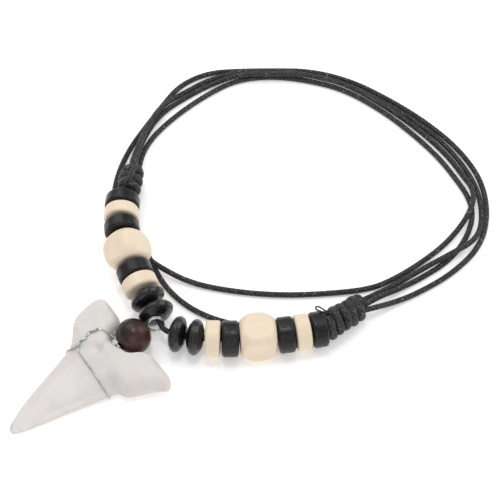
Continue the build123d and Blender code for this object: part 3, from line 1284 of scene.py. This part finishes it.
    def make_bead(self, row: Threaded, span: Span, seed: int) -> None:
        """Makes one bead in its place, turned about its hole by an angle of its own.

        Args:
            row: the bead.
            span: where it begins and ends.
            seed: picks its unevenness, its turn and its grain.
        """
        on_edge = row.node == "left_cube_5"
        if row.shape is Shape.DISC:
            surface, turn = self.disc(seed, row.extra), 37.0 * seed
        elif row.shape is Shape.RONDELLE:
            surface, turn = self.rondelle(seed), 53.0 * seed
        else:
            surface, turn = self.cube(seed, row.extra), 45.0 * on_edge
        surface = placed(surface, span.near, span.far, turn)
        if on_edge:
            surface.points = self.spread(surface.points, span)
        surface.own_places = surface.own_places[:, (2, 0, 1)] + 31.0 * seed
        surface.masks = {"gloss": np.full(len(surface.points), float(row.shape is Shape.RONDELLE))}
        black = "black" in row.node or row.shape is Shape.RONDELLE
        slot = "black_lacquer" if black else "pale_wood"
        make_piece("bead_" + row.node, slot, surface, self.palette, row.node)

    def spread(self, points: np.ndarray, span: Span) -> np.ndarray:
        """The points of a cube that stands on its edge, moved wider sideways and lower.

        Each point moves by a share of its distance from the cube's middle.

        Args:
            points: the cube's points.
            span: where it begins and ends.

        Returns:
            The new points.
        """
        side = unit(np.cross(span.way, UP))
        over = np.cross(side, span.way)
        away = points - (span.near + span.far) / 2
        wider = self.edge_cube_wider * (away @ side)[:, None] * side
        return points + wider - self.edge_cube_lower * (away @ over)[:, None] * over

    def make_string(self) -> None:
        """Makes the string through the beads, along a smooth line through their ends."""
        left, right = self.spans
        first, last = (
            spans[-1].near + spans[-1].way * reach for spans, reach in zip(self.spans, self.inside_knots)
        )
        points = [
            first,
            *(span.far for span in reversed(left[:-1])),
            self.starts[0],
            self.bend_point,
            self.starts[1],
            *(span.far for span in right[:-1]),
            last,
        ]
        braid = Braid()
        path = spaced(smooth_line("string_line", np.array(points)), braid.step)
        surface = tube(path, self.cord_diameter / 2, braid)
        make_piece("bead_string", "waxed_cord", surface, self.palette, "bead_cord")


# The neck cords and their knots


@dataclass
class NeckCord:
    """A braided cord that runs round the loop twice, from one knot to the other."""

    palette: Palette
    node: str
    route: list[Place]
    length: float
    diameter: float = 1.2
    thicker: float = 1.025

    def build(self, knot: bpy.types.Object) -> None:
        """Args:
            knot: the knot at its far end; not used.
        """
        braid = Braid()
        path = spaced(smooth_line(self.node + "_line", np.array(self.route)), braid.step)
        surface = tube(path, self.diameter / 2 * self.thicker, braid)
        piece = make_piece(self.node + "_braid", "waxed_cord", surface, self.palette, self.node)


LEFT_ROUTE = [
    (-31.05, 27.15, 4.0), (-35.3, 33.0, 3.1), (-40.2, 41.0, 1.8), (-42.9, 48.2, 0.8), (-42.5, 55.5, 0.65),
    (-41.4, 62.3, 0.65), (-37.9, 68.7, 2.1), (-32.7, 74.1, 2.0), (-26.6, 80.0, 2.0), (-18.2, 84.4, 1.7),
    (-7.0, 85.95, 1.2), (2.7, 86.35, 0.7), (11.9, 85.2, 0.65), (18.3, 83.1, 0.8), (24.1, 80.6, 1.95),
    (27.4, 74.7, 1.95), (28.5, 66.3, 0.65), (28.0, 57.7, 0.65), (26.8, 50.7, 0.65), (25.0, 45.3, 0.65),
    (20.0, 38.7, 0.65), (13.2, 31.1, 0.65), (5.3, 24.5, 0.65), (-2.8, 19.4, 0.75), (-9.8, 17.0, 1.95),
    (-14.6, 16.7, 1.95), (-19.2, 17.1, 0.7), (-26.6, 18.5, 0.65), (-32.5, 23.7, 0.65), (-36.8, 29.1, 0.65),
    (-40.2, 35.8, 0.65), (-42.2, 42.1, 0.65), (-44.4, 49.5, 0.65), (-46.3, 57.1, 0.65), (-44.5, 64.5, 0.65),
    (-39.6, 70.3, 0.65), (-34.4, 75.7, 0.65), (-27.8, 82.1, 0.65), (-18.7, 86.6, 0.65), (-7.3, 88.6, 0.65),
    (2.8, 89.2, 0.65), (12.5, 88.4, 0.65), (22.1, 85.2, 0.65), (29.5, 78.8, 0.65), (34.2, 70.7, 0.65),
    (34.7, 60.7, 0.65), (32.8, 51.5, 0.65), (31.1, 46.2, 1.0), (29.6, 41.3, 2.4), (28.3, 38.2, 3.0),
]
RIGHT_ROUTE = [
    (27.3, 35.9, 3.27), (28.05, 43.1, 2.47), (29.2, 49.0, 0.9), (30.7, 54.8, 0.65), (31.9, 62.6, 0.65),
    (30.9, 69.4, 0.65), (27.8, 75.8, 0.65), (23.6, 79.2, 0.65), (17.9, 81.3, 0.65), (11.1, 83.3, 0.65),
    (2.7, 84.4, 0.65), (-6.9, 84.8, 0.65), (-17.9, 83.5, 0.65), (-26.3, 79.4, 0.65), (-33.0, 74.4, 0.65),
    (-37.6, 68.4, 0.65), (-39.3, 62.4, 0.65), (-40.1, 52.6, 0.65), (-39.4, 43.1, 0.65), (-37.4, 37.2, 0.65),
    (-34.5, 33.2, 0.65), (-31.2, 29.4, 0.65), (-27.2, 24.9, 0.65), (-21.7, 20.7, 0.65), (-14.3, 17.7, 0.65),
    (-6.1, 14.6, 0.65), (2.8, 14.7, 0.65), (11.6, 18.4, 0.65), (18.2, 24.8, 0.65), (22.5, 33.4, 0.65),
    (25.7, 41.5, 0.65), (27.8, 48.9, 0.65), (29.7, 56.5, 1.6), (31.6, 63.7, 2.1), (32.9, 70.9, 1.75),
    (29.1, 77.5, 0.65), (22.4, 83.2, 0.65), (12.2, 86.8, 0.65), (2.8, 87.8, 0.65), (-7.2, 87.2, 0.65),
    (-18.4, 85.3, 0.65), (-27.1, 80.8, 0.85), (-33.6, 75.0, 1.68), (-38.8, 69.5, 1.5), (-42.7, 63.2, 0.75),
    (-43.9, 55.9, 0.65), (-43.8, 48.7, 1.95), (-40.3, 41.1, 3.1), (-37.2, 35.9, 4.05), (-34.6, 31.6, 4.42),
    (-33.2, 29.8, 4.4),
]


@dataclass
class SlidingKnot:
    """A sliding knot: one cord's end wound round the other cord and tucked in.

    Args:
        palette: the finishes.
        node: the CAD node that it stands for.
        span: where it begins and ends.
        turns: how many turns the winding makes.
        start: angle at which the winding begins, in degrees.
        run: where the winding begins and ends along the knot, in millimetres.
        lean: how far each turn leans along the knot at the beginning and the end, in millimetres.
        radii: outer radius at the beginning and the end.
        strand: the loose strand's radius, and the places that its line goes by.
        shift: how far the winding's middle lies from the knot's line, sideways and up.
        swell: how much wider the winding is half way.
        wrap_radius: radius of the cord in the winding.
        flatness: its thickness away from the knot's line, as a share of its width.
        core_depth: how far the cords inside lie below the outer radius.
    """

    palette: Palette
    node: str
    span: Span
    turns: float
    start: float
    run: tuple[float, float]
    lean: tuple[float, float]
    radii: tuple[float, float]
    strand: tuple[float, tuple[Place, ...]]
    shift: tuple[float, float] = (0.0, 0.0)
    swell: float = 0.15
    wrap_radius: float = 0.82
    flatness: float = 0.68
    core_depth: float = 1.05

    def winding(self) -> np.ndarray:
        """The winding's line, in the knot's own frame with its axis along Z.

        The angle grows steadily. The place along the knot is a straight climb plus a lean that
        goes to and fro once a turn. The distance from the axis changes evenly from one end to the
        other, with a swell half way and slow unevenness, and falls at both ends, where the cord
        is tucked in.

        Returns:
            Points along the winding.
        """
        share = np.linspace(0, 1, int(90 * self.turns))
        angle = np.radians(self.start) + 2 * np.pi * self.turns * share
        run, lean, outer = (
            begin + (end - begin) * share for begin, end in (self.run, self.lean, self.radii)
        )
        uneven = 0.11 * np.sin(2.3 * angle + self.turns) + 0.08 * np.sin(0.7 * angle + 2 * self.turns)
        climb = run + lean * np.cos(angle) + 0.8 * uneven
        tucked = eased(np.minimum(share, 1 - share) * self.turns / 0.28)
        outer = outer + self.swell * np.sin(np.pi * share)
        out = (outer - self.wrap_radius * self.flatness + uneven - 0.15) * (0.4 + 0.6 * tucked)
        return np.stack((self.shift[0] + out * np.cos(angle), self.shift[1] + out * np.sin(angle), climb), 1)

    def build(self) -> bpy.types.Object:
        """Makes the winding, the cords inside it and the loose strand.

        Returns:
            The piece.
        """
        braid = Braid(sides=24, step=0.13, lay=4.6)
        path = spaced(self.winding(), braid.step)
        away = (path - (*self.shift, 0.0)) * (1.0, 1.0, 0.0)
        wound = tube(path, self.wrap_radius, braid, unit(away + 1e-6), self.flatness, 0.3)
        ends = np.array(((*self.shift, self.run[0] + 0.1), (*self.shift, self.run[1] - 0.1)))
        inside = Braid(strands=5, lay=6.0, depth=0.2, sides=40)
        core_radius = min(self.radii) - self.core_depth
        core = tube(spaced(ends, inside.step), core_radius, inside, np.array((1.0, 0.0, 0.0)), taper=0.9)
        knot = placed(joined([wound, core]), self.span.near, self.span.far)
        radius, places = self.strand
        fine = Braid(sides=16, step=0.12, depth=0.08, lay=3.0)
        line = spaced(smooth_line(self.node + "_loop", np.array(places)), fine.step)
        loose = tube(line, radius, fine, np.array((0.3, 0.2, 1.0)), taper=0.15)
        return make_piece(
            self.node + "_winding", "waxed_cord", joined([knot, loose]), self.palette, self.node
        )


THREAD_LOOP = (
    (25.5, 31.8, 5.9), (24.9, 30.9, 7.2), (23.9, 30.6, 7.7), (23.1, 30.1, 7.75), (23.5, 29.6, 7.65),
    (24.4, 29.9, 7.45), (25.3, 30.9, 6.9), (25.9, 31.9, 6.0),
)
CROSSING_STRAND = (
    (-29.3, 24.9, 6.0), (-29.2, 25.6, 7.4), (-29.9, 27.4, 7.5), (-31.0, 28.8, 7.0), (-31.4, 30.2, 6.2),
    (-32.5, 30.6, 5.0),
)


# The pendant

# The tooth's outline from its tip, as shares of its width and length: the crown's right edge, the
# root with its two lobes, and the crown's left edge
TOOTH_OUTLINE = (
    (-0.048, 0.017), (-0.003, 0.071), (0.041, 0.155), (0.098, 0.275), (0.162, 0.405), (0.228, 0.545),
    (0.254, 0.602), (0.277, 0.632), (0.350, 0.656), (0.424, 0.738), (0.482, 0.806), (0.540, 0.866),
    (0.500, 0.907), (0.373, 0.931), (0.254, 0.940), (0.170, 0.902), (0.095, 0.846), (0.000, 0.838),
    (-0.095, 0.848), (-0.138, 0.885), (-0.150, 0.936), (-0.188, 0.978), (-0.280, 1.003), (-0.431, 0.994),
    (-0.455, 0.960), (-0.465, 0.850), (-0.458, 0.796), (-0.427, 0.754), (-0.358, 0.698), (-0.304, 0.641),
    (-0.292, 0.581),
    (-0.269, 0.494), (-0.238, 0.371), (-0.196, 0.213), (-0.151, 0.098), (-0.120, 0.038), (-0.084, 0.010),
)


@dataclass
class SharkTooth:
    """The tooth: a crown with two edges that meet at the tip, and a root with two lobes."""

    palette: Palette
    pendant_x: float = -0.3
    bead_bottom: float = -3.6
    length: float = 33.4
    width: float = 26.0
    root_height: float = 4.8
    tip_height: float = 1.3
    root_lift: float = 0.95
    floor_gap: float = 0.03
    saddle_clearance: float = 0.2
    saddle_share: float = 0.832
    middle: tuple[float, float] = (-0.02, 0.62)
    rim_spacing: float = 0.2
    rim_share: float = 0.14
    root_rim_extra: float = 0.04
    back_reach: float = 1.7
    crown_reach: float = 5.4
    crown_fall: float = 0.72
    root_power: float = 2.2
    steep_reach: float = 1.2
    gentle_extra: float = 1.9
    bead_side_reach: float = 0.75
    root_step: float = 0.34
    groove_depth: float = 0.26
    groove_middle: tuple[float, float] = (-0.10, 0.742)
    swelling: float = 0.28
    sunk: float = 0.36
    slow_ripple: float = 0.09
    fine_ripple: float = 0.028

    def __post_init__(self) -> None:
        """Works out the outline and where the tip is."""
        self.tip_y = self.bead_bottom - self.saddle_clearance - self.saddle_share * self.length
        self.size = np.array((self.width, self.length))
        self.centre = self.middle * self.size
        self.edge = closed_curve(TOOTH_OUTLINE * self.size, self.rim_spacing) - self.centre

    def patch(
        self, places: np.ndarray, middle: tuple[float, float], spread: tuple[float, float]
    ) -> np.ndarray:
        """A soft patch, 1 at its middle: e to the power of minus the square of the distance.

        Args:
            places: places across and along the tooth.
            middle: the patch's middle in shares of the tooth's size.
            spread: how far it reaches, in the same shares.

        Returns:
            One value a place.
        """
        return np.exp(-((((places / self.size) - middle) / spread) ** 2).sum(-1))

    def root_amount(self, places: np.ndarray) -> np.ndarray:
        """How much a place belongs to the root: 0 on the crown, 1 on the root, soft between.

        The line between them is a shallow arch: low at both notches and highest left of centre.

        Args:
            places: places across and along the tooth, from its tip.

        Returns:
            One share a place.
        """
        across, along = np.moveaxis(places / self.size, -1, 0)
        line = np.interp(
            across,
            (-0.36, -0.29, -0.20, -0.11, -0.03, 0.10, 0.24, 0.34),
            (0.60, 0.62, 0.700, 0.745, 0.724, 0.695, 0.665, 0.650),
        )
        return eased(0.5 + (along - line) / 0.085)

    def rim_distance(self, places: np.ndarray) -> np.ndarray:
        """How far places lie in from the rim, without a crease where two sides are equally near.

        The distances to all the rim's short pieces are raised to the power -4, added up and raised
        to the power -1/3. Near a straight rim that is the true distance but for a constant, which
        is the cube root of half of pi. In the middle it is a rounded version of it.

        Args:
            places: places across and along the tooth, from its tip.

        Returns:
            One distance a place.
        """
        inside = places.reshape(-1, 2) - self.centre
        sums = [
            ((((part[:, None] - self.edge[None]) ** 2).sum(-1) + 1e-5) ** -2.0).sum(1)
            for part in np.array_split(inside, 1 + len(inside) // 4000)
        ]
        distance = (np.pi / 2 / (np.concatenate(sums) * self.rim_spacing)) ** (1 / 3)
        return distance.reshape(places.shape[:-1])

    def heights(self, places: np.ndarray, front: bool) -> np.ndarray:
        """The height of the tooth's front or back.

        Back and front are planes that part from the tip to the root. Between them the surface is
        pillowed: the share of the thickness falls towards the rim, to a sharp edge on the crown
        and a round one on the root. The root's edge is steeper towards the left and near the
        brown bead. The front adds the step up to the root, the swelling below it, the groove at
        its middle and a slight ripple, and is sunk a little as a whole.

        Args:
            places: places across and along the tooth, from its tip.
            front: the front, or else the back.

        Returns:
            Heights above the floor.
        """
        across = places[..., 0] / self.width
        root_share = places[..., 1] / self.length / self.saddle_share
        back = root_share * self.root_lift
        thick = self.tip_height + root_share * (self.root_height - self.tip_height) - back
        root = self.root_amount(places)
        distance = self.rim_distance(places)
        rim = self.rim_share + self.root_rim_extra * root
        if not front:
            return back + rim * thick * (1 - pillow(distance, self.back_reach)) + self.floor_gap
        bead = np.array((0.0, self.saddle_share * self.length + 3.7))
        near_bead = eased((8.6 - np.linalg.norm(places - bead, axis=-1)) / 3.4)
        slope = self.steep_reach + self.gentle_extra * eased((across + 0.40) / 0.16)
        slope -= (slope - self.bead_side_reach) * near_bead * eased((across + 0.20) / 0.28)
        on_crown = pillow(distance, self.crown_reach, 2.0, self.crown_fall)
        on_root = pillow(distance, slope, self.root_power)
        share = on_crown + root * (on_root - on_crown)
        solid = np.concatenate((places, 0 * places[..., :1]), -1)
        relief = (
            self.root_step * root
            - self.groove_depth * self.patch(places, self.groove_middle, (0.04, 0.02))
            + self.swelling * self.patch(places, (0.02, 0.62), (0.14, 0.08))
            - self.sunk
            + self.slow_ripple * ripple(solid, 7.0, 5)
            + self.fine_ripple * ripple(solid, 2.2, 6) * (0.4 + 0.6 * root)
        )
        return back + self.floor_gap + thick * (rim + (1 - rim) * share) + eased(distance / 1.6) * relief

    def build(self) -> None:
        """Makes the tooth.

        The grid goes round the outline by column. By row it goes from the back's middle out to
        the rim and back in over the front to its middle, with close rows at the rim.
        """
        behind = 1 - np.linspace(1, 0, 34)[1:] ** 1.8
        ahead = 1 - np.linspace(0, 1, 92)[1:-1] ** 1.9
        sides = ((np.zeros(1), False), (behind, False), (ahead, True), (np.zeros(1), True))
        tip = (self.pendant_x, self.tip_y)
        rows = []
        for reach, front in sides:
            plane = self.centre + reach[:, None, None] * self.edge[None, ::-1]
            rows.append(np.concatenate((plane + tip, self.heights(plane, front)[..., None]), 2))
        first, *middle, last = rows
        points = np.concatenate(middle)
        surface = grid(points, False, (0.05, 0.05))
        surface = with_poles(surface, points.shape[1], first[0, 0], last[0, 0])
        surface.own_places = surface.points - (*tip, 0.0)
        own = surface.own_places[:, :2]
        surface.masks = {
            "root_mask": self.root_amount(own),
            "groove_mask": self.patch(own, self.groove_middle, (0.035, 0.014)),
            # Painted shade: where the material greys the tooth's middle around the wire
            "neck_mask": self.patch(own, (0.01, 0.640), (0.23, 0.085)),
            "tip_mask": np.clip(1 - own[:, 1] / 3.2, 0, 1),
        }
        make_piece("tooth_carved", "tooth", surface, self.palette, "shark_tooth")


class Side(Enum):
    """Where the binding wire runs: over the tooth, under it, or at a height above the floor."""

    FRONT = "front"
    BACK = "back"
    EDGE = 1.35
    AIR = 4.1


# Where the binding wire goes, as shares of the tooth's width and length: from the bead down to the
# notch, then round the neck and back to its own bend
WIRE_DOWN = (
    (-0.030, 0.853, Side.AIR), (-0.075, 0.858, Side.AIR), (-0.120, 0.857, Side.AIR),
    (-0.163, 0.848, Side.FRONT), (-0.208, 0.824, Side.FRONT), (-0.236, 0.794, Side.FRONT),
    (-0.239, 0.752, Side.FRONT), (-0.230, 0.718, Side.FRONT), (-0.233, 0.688, Side.FRONT),
    (-0.228, 0.664, Side.FRONT),
)
WIRE_ROUND_NECK = (
    (-0.205, 0.643, Side.FRONT), (-0.156, 0.633, Side.FRONT), (-0.086, 0.620, Side.FRONT),
    (0.006, 0.606, Side.FRONT), (0.095, 0.593, Side.FRONT), (0.164, 0.586, Side.FRONT),
    (0.215, 0.581, Side.FRONT), (0.262, 0.580, Side.EDGE), (0.240, 0.579, Side.BACK),
    (0.100, 0.586, Side.BACK), (-0.100, 0.596, Side.BACK), (-0.280, 0.607, Side.BACK),
    (-0.312, 0.607, Side.EDGE), (-0.280, 0.622, Side.FRONT), (-0.250, 0.646, Side.FRONT),
    (-0.234, 0.668, Side.FRONT),
)


@dataclass
class Pendant:
    """The brown bead, the wire through it with its eye, and the wire that binds the tooth."""

    palette: Palette
    string: BeadString
    tooth: SharkTooth
    pendant_x: float = -0.3
    bead_top: float = 3.4
    bead_length: float = 7.0
    bead_diameter: float = 7.7
    bead_bore: float = 1.5
    bead_slack: Place = (0.33, 0.33, 0.0)
    wire_diameter: float = 0.4
    wire_step: float = 0.1
    eye_radius: float = 1.75
    eye_turns: int = 2
    eye_pitch: float = 0.55
    eye_offset: float = 0.5
    eye_hang: float = 0.95
    eye_lean: float = 0.42
    eye_wire_share: float = 0.75
    binding_wire_share: float = 0.72
    twist_wire_share: float = 0.85
    twist_gap: float = 0.24
    twist_turns: float = 2.4
    curl_wire_share: float = 0.7
    curl_radius: float = 0.62
    curl_turns: float = 1.7

    def __post_init__(self) -> None:
        """Works out the bead's ends."""
        height = self.bead_diameter / 2 + self.string.floor_gap
        self.top = np.array((self.pendant_x, self.bead_top, height))
        self.bottom = np.array((self.pendant_x, self.bead_top - self.bead_length, height))
        self.inside = (self.top + self.bottom) / 2

    def build(self) -> None:
        """Makes the three pieces."""
        self.make_bead()
        self.make_eye()
        self.make_binding()

    def make_bead(self) -> None:
        """A barrel so rounded that it is nearly a ball, with softened drilled ends.

        Its section is a polygon round an ellipse, with arcs at the corners.
        """
        out, half, bore = self.bead_diameter / 2, self.bead_length / 2, self.bead_bore / 2
        turns = np.radians((-60, -36, -12, 12, 36, 60))
        corners = [(bore, 0.0, HOLE_ROUNDING), (bore, self.bead_length, HOLE_ROUNDING)]
        corners[1:1] = [
            (1.02 * out * np.cos(turn), half + 1.04 * half * np.sin(turn), 3.0) for turn in turns
        ]
        surface = revolved(rounded_outline(corners, 0.2), 128, 0.03, 77)
        surface = placed(surface, self.bottom + self.bead_slack, self.top + self.bead_slack)
        surface.own_places = surface.points - self.inside
        make_piece("bead_brown", "brown_wood", surface, self.palette, "pendant_bead")

    def make_eye(self) -> None:
        """The wire's eye: turns round the bare string, then a shank into the bead.

        The turns are a helix about a line that leans up from the string: a circle whose place
        along that line falls steadily with the angle.
        """
        start = self.string.starts[0]
        string_way = unit(self.string.bend_point - start)
        hang = np.array((string_way[1], -string_way[0], 0.0))
        lean = unit(string_way + self.eye_lean * UP)
        up = np.cross(hang, lean)
        up *= np.sign(up[2])
        angle = np.linspace(0, 2 * np.pi * self.eye_turns, 16 * self.eye_turns + 1)[:, None]
        turns = (
            start
            + string_way * self.eye_offset
            + hang * (self.eye_hang + self.eye_radius * np.cos(angle))
            + lean * self.eye_pitch * (self.eye_turns - angle / (2 * np.pi))
            + up * self.eye_radius * np.sin(angle)
        )
        shank = np.array((self.top + (0, self.wire_diameter, 0), self.inside + (0, 0.08, 0)))
        path = spaced(smooth_line("eye_line", np.vstack((turns, shank))), self.wire_step)
        surface = tube(path, self.wire_diameter / 2 * self.eye_wire_share, PLAIN_ROUND, lean, taper=0.1)
        make_piece("wire_eye", "silver_wire", surface, self.palette, "eye_wire")

    def on_tooth(self, across: float, along: float, side: Side) -> np.ndarray:
        """Where the binding wire's middle is at a place of the tooth.

        Args:
            across: the place across, as a share of the tooth's width.
            along: the place along, as a share of its length.
            side: whether the wire is over the tooth, under it or at a height.

        Returns:
            The point.
        """
        tooth = self.tooth
        place = (across, along) * tooth.size
        if side is Side.FRONT:
            height = float(tooth.heights(place, True)) + self.wire_diameter / 2
        elif side is Side.BACK:
            height = float(tooth.heights(place, False)) - self.wire_diameter / 2
        else:
            height = side.value
        return np.array((tooth.pendant_x + place[0], tooth.tip_y + place[1], height))

    def make_binding(self) -> None:
        """The wire from the bead over the tooth's front, round its neck and back to its own bend.

        Its end is twisted round the stretch that comes from the bead.
        """
        radius = self.wire_diameter / 2 * self.binding_wire_share
        leaving = (self.inside - (0, 0.1, 0), self.bottom + (0, 0.6, 0), self.bottom + (0, -0.3, 0.1))
        passed = [self.on_tooth(*row) for row in WIRE_DOWN]
        bound = [self.on_tooth(*row) for row in WIRE_ROUND_NECK]
        main = spaced(smooth_line("binding_line", np.array((*leaving, *passed, *bound))), self.wire_step)
        twisted = self.twist(spaced(smooth_line("twist_line", np.array(passed[4:])), self.wire_step))
        outward = (main - (self.pendant_x, 0.0, 1.2)) * (1.0, 0.0, 1.0)
        pieces = [
            tube(main, radius, PLAIN_ROUND, unit(outward), taper=0.1),
            tube(twisted, radius * self.twist_wire_share, PLAIN_ROUND, taper=0.1),
            self.curl(),
        ]
        make_piece("wire_binding", "silver_wire", joined(pieces), self.palette, "tooth_wire")

    def twist(self, stretch: np.ndarray) -> np.ndarray:
        """The wire's end, wound loosely over the stretch that comes from the bead.

        It follows that stretch at a small distance, in a direction that turns steadily round it
        and stays on the side away from the tooth.

        Args:
            stretch: points along the stretch that it is wound over.

        Returns:
            Points along the wound wire.
        """
        tangent = directions_along(stretch)
        square = unit(np.cross(tangent, UP))
        over = np.abs(np.cross(square, tangent)) * UP
        turn = np.linspace(0.6, 2 * np.pi * self.twist_turns, len(stretch))[:, None]
        around = square * np.cos(turn) + over * (0.3 + 0.7 * np.sin(turn) ** 2)
        return stretch + self.twist_gap * around

    def curl(self) -> Surface:
        """The small curl of wire that closes the bead's hole: a flat helix, a little three-sided.

        Returns:
            The surface.
        """
        angle = np.linspace(0, 2 * np.pi * self.curl_turns, 60)
        radius = self.curl_radius + 0.10 * np.sin(3 * angle)
        sunk = -0.12 - 0.14 * angle / (2 * np.pi)
        points = self.bottom + np.stack((radius * np.cos(angle), sunk, radius * np.sin(angle)), 1)
        path = spaced(points, 0.08)
        wire_radius = self.wire_diameter / 2 * self.curl_wire_share
        return tube(path, wire_radius, PLAIN_ROUND, np.array((0.0, 1.0, 0.0)), taper=0.1)


# The studio


@dataclass(frozen=True)
class Studio:
    """A pale floor, soft light from above and the camera at the photograph's angle.

    Args:
        aim: what the camera looks at.
        camera: where it is.
        light_aim: what the lights face.
        lens: its focal length.
        sensor: its sensor's width.
        lights: name, place, size and power in watts of each.
    """

    aim: Place = (-0.8, 34.9, 0.0)
    camera: Place = (146.9, -112.8, 277.2)
    light_aim: Place = (0.0, 30.0, 0.0)
    lens: float = 115.2
    sensor: float = 36.0
    lights: tuple[tuple[str, Place, float, float], ...] = (
        ("soft_left", (-260.0, 60.0, 330.0), 320.0, 0.47),
        ("soft_back", (120.0, 330.0, 260.0), 260.0, 0.39),
        ("window", (-20.0, 40.0, 420.0), 90.0, 0.29),
        ("fill", (210.0, -240.0, 170.0), 260.0, 0.16),
    )

    def stand(self, name: str, data: bpy.types.ID, place: Place, target: Place) -> bpy.types.Object:
        """Puts a camera or light in the scene at a layout place, facing another.

        Args:
            name: the object's name.
            data: the camera or light.
            place: where it stands.
            target: what it faces.

        Returns:
            The object.
        """
        places = [Vector((np.array(point) + LAYOUT_TO_ORIGIN) * METRES) for point in (place, target)]
        item = bpy.data.objects.new(name, data)
        item.location = places[0]
        item.rotation_euler = (places[1] - item.location).to_track_quat("-Z", "Y").to_euler()
        bpy.context.scene.collection.objects.link(item)
        return item

    def build(self) -> None:
        """Makes the camera, the floor, the lights and the sky."""
        data = bpy.data.cameras.new("camera")
        data.lens = self.lens
        data.sensor_width = self.sensor
        data.clip_start = 0.01
        data.clip_end = 20.0
        bpy.context.scene.camera = self.stand("camera", data, self.camera, self.aim)
        bpy.context.scene.view_settings.view_transform = "Standard"
        self.make_floor()
        self.make_sky()
        for name, place, size, watts in self.lights:
            light = bpy.data.lights.new(name, "AREA")
            light.size = size * METRES
            light.energy = watts
            self.stand(name, light, place, self.light_aim)

    def make_floor(self) -> None:
        """A wide pale floor with a faint texture."""
        mesh = bpy.data.meshes.new("floor")
        reach = 3.0
        corners = [(-reach, -reach, 0), (reach, -reach, 0), (reach, reach, 0), (-reach, reach, 0)]
        mesh.from_pydata(corners, [], [(0, 1, 2, 3)])
        floor = bpy.data.objects.new("floor", mesh)
        bpy.context.scene.collection.objects.link(floor)
        material, board = new_material("pale_floor")
        cloudy = board.noise(board.add("TexCoord")["Object"], 6.0)
        board.finish(
            {
                "Base Color": board.mix(cloudy, colour(0.93, 0.93, 0.93), colour(0.95, 0.95, 0.95)),
                "Roughness": 0.9,
                "Specular IOR Level": 0.1,
                "Emission Color": colour(1.0, 1.0, 1.0),
                "Emission Strength": 0.31,
            }
        )
        mesh.materials.append(material)

    def make_sky(self) -> None:
        """An even white surround, brighter overhead than at the horizon."""
        world = bpy.data.worlds.new("sky")
        world.use_nodes = True
        board = Board(world.node_tree)
        overhead = board.add("SeparateXYZ", {0: board.add("TexCoord")["Generated"]})[2]
        white = board.mix(
            board.between(overhead, 0.0, 0.9), colour(0.78, 0.78, 0.79), colour(1.0, 1.0, 1.0)
        )
        board.add("OutputWorld", {0: board.add("Background", {0: white, 1: 0.57})[0]})
        bpy.context.scene.world = world


def write_sizes() -> None:
    """Updates the view layer.
    """
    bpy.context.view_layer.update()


def main() -> None:
    """Builds the necklace and its studio."""
    logging.basicConfig(level=logging.INFO, format="%(name)s: %(message)s")
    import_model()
    Studio().build()
    palette = mixed_palette()
    string = BeadString(palette)
    left_span, right_span = (spans[-1] for spans in string.spans)
    left_knot = SlidingKnot(
        palette,
        "left_knot",
        left_span,
        turns=3.4,
        start=215.0,
        run=(1.1, 8.8),
        lean=(0.9, 0.5),
        radii=(2.75, 2.6),
        strand=(0.62, CROSSING_STRAND),
        shift=(-0.6, 0.35),
        swell=0.2,
        wrap_radius=1.12,
        core_depth=0.75,
    ).build()
    right_knot = SlidingKnot(
        palette,
        "right_knot",
        right_span,
        turns=5.2,
        start=30.0,
        run=(-1.2, 8.3),
        lean=(1.3, 0.3),
        radii=(3.15, 2.85),
        strand=(0.17, THREAD_LOOP),
        shift=(0.0, 0.3),
        wrap_radius=0.9,
    ).build()
    NeckCord(palette, "left_neck_cord", LEFT_ROUTE, 390.0).build(right_knot)
    NeckCord(palette, "right_neck_cord", RIGHT_ROUTE, 385.0).build(left_knot)
    string.build()
    tooth = SharkTooth(palette)
    tooth.build()
    Pendant(palette, string, tooth).build()
    write_sizes()


if __name__ == "__main__":
    main()
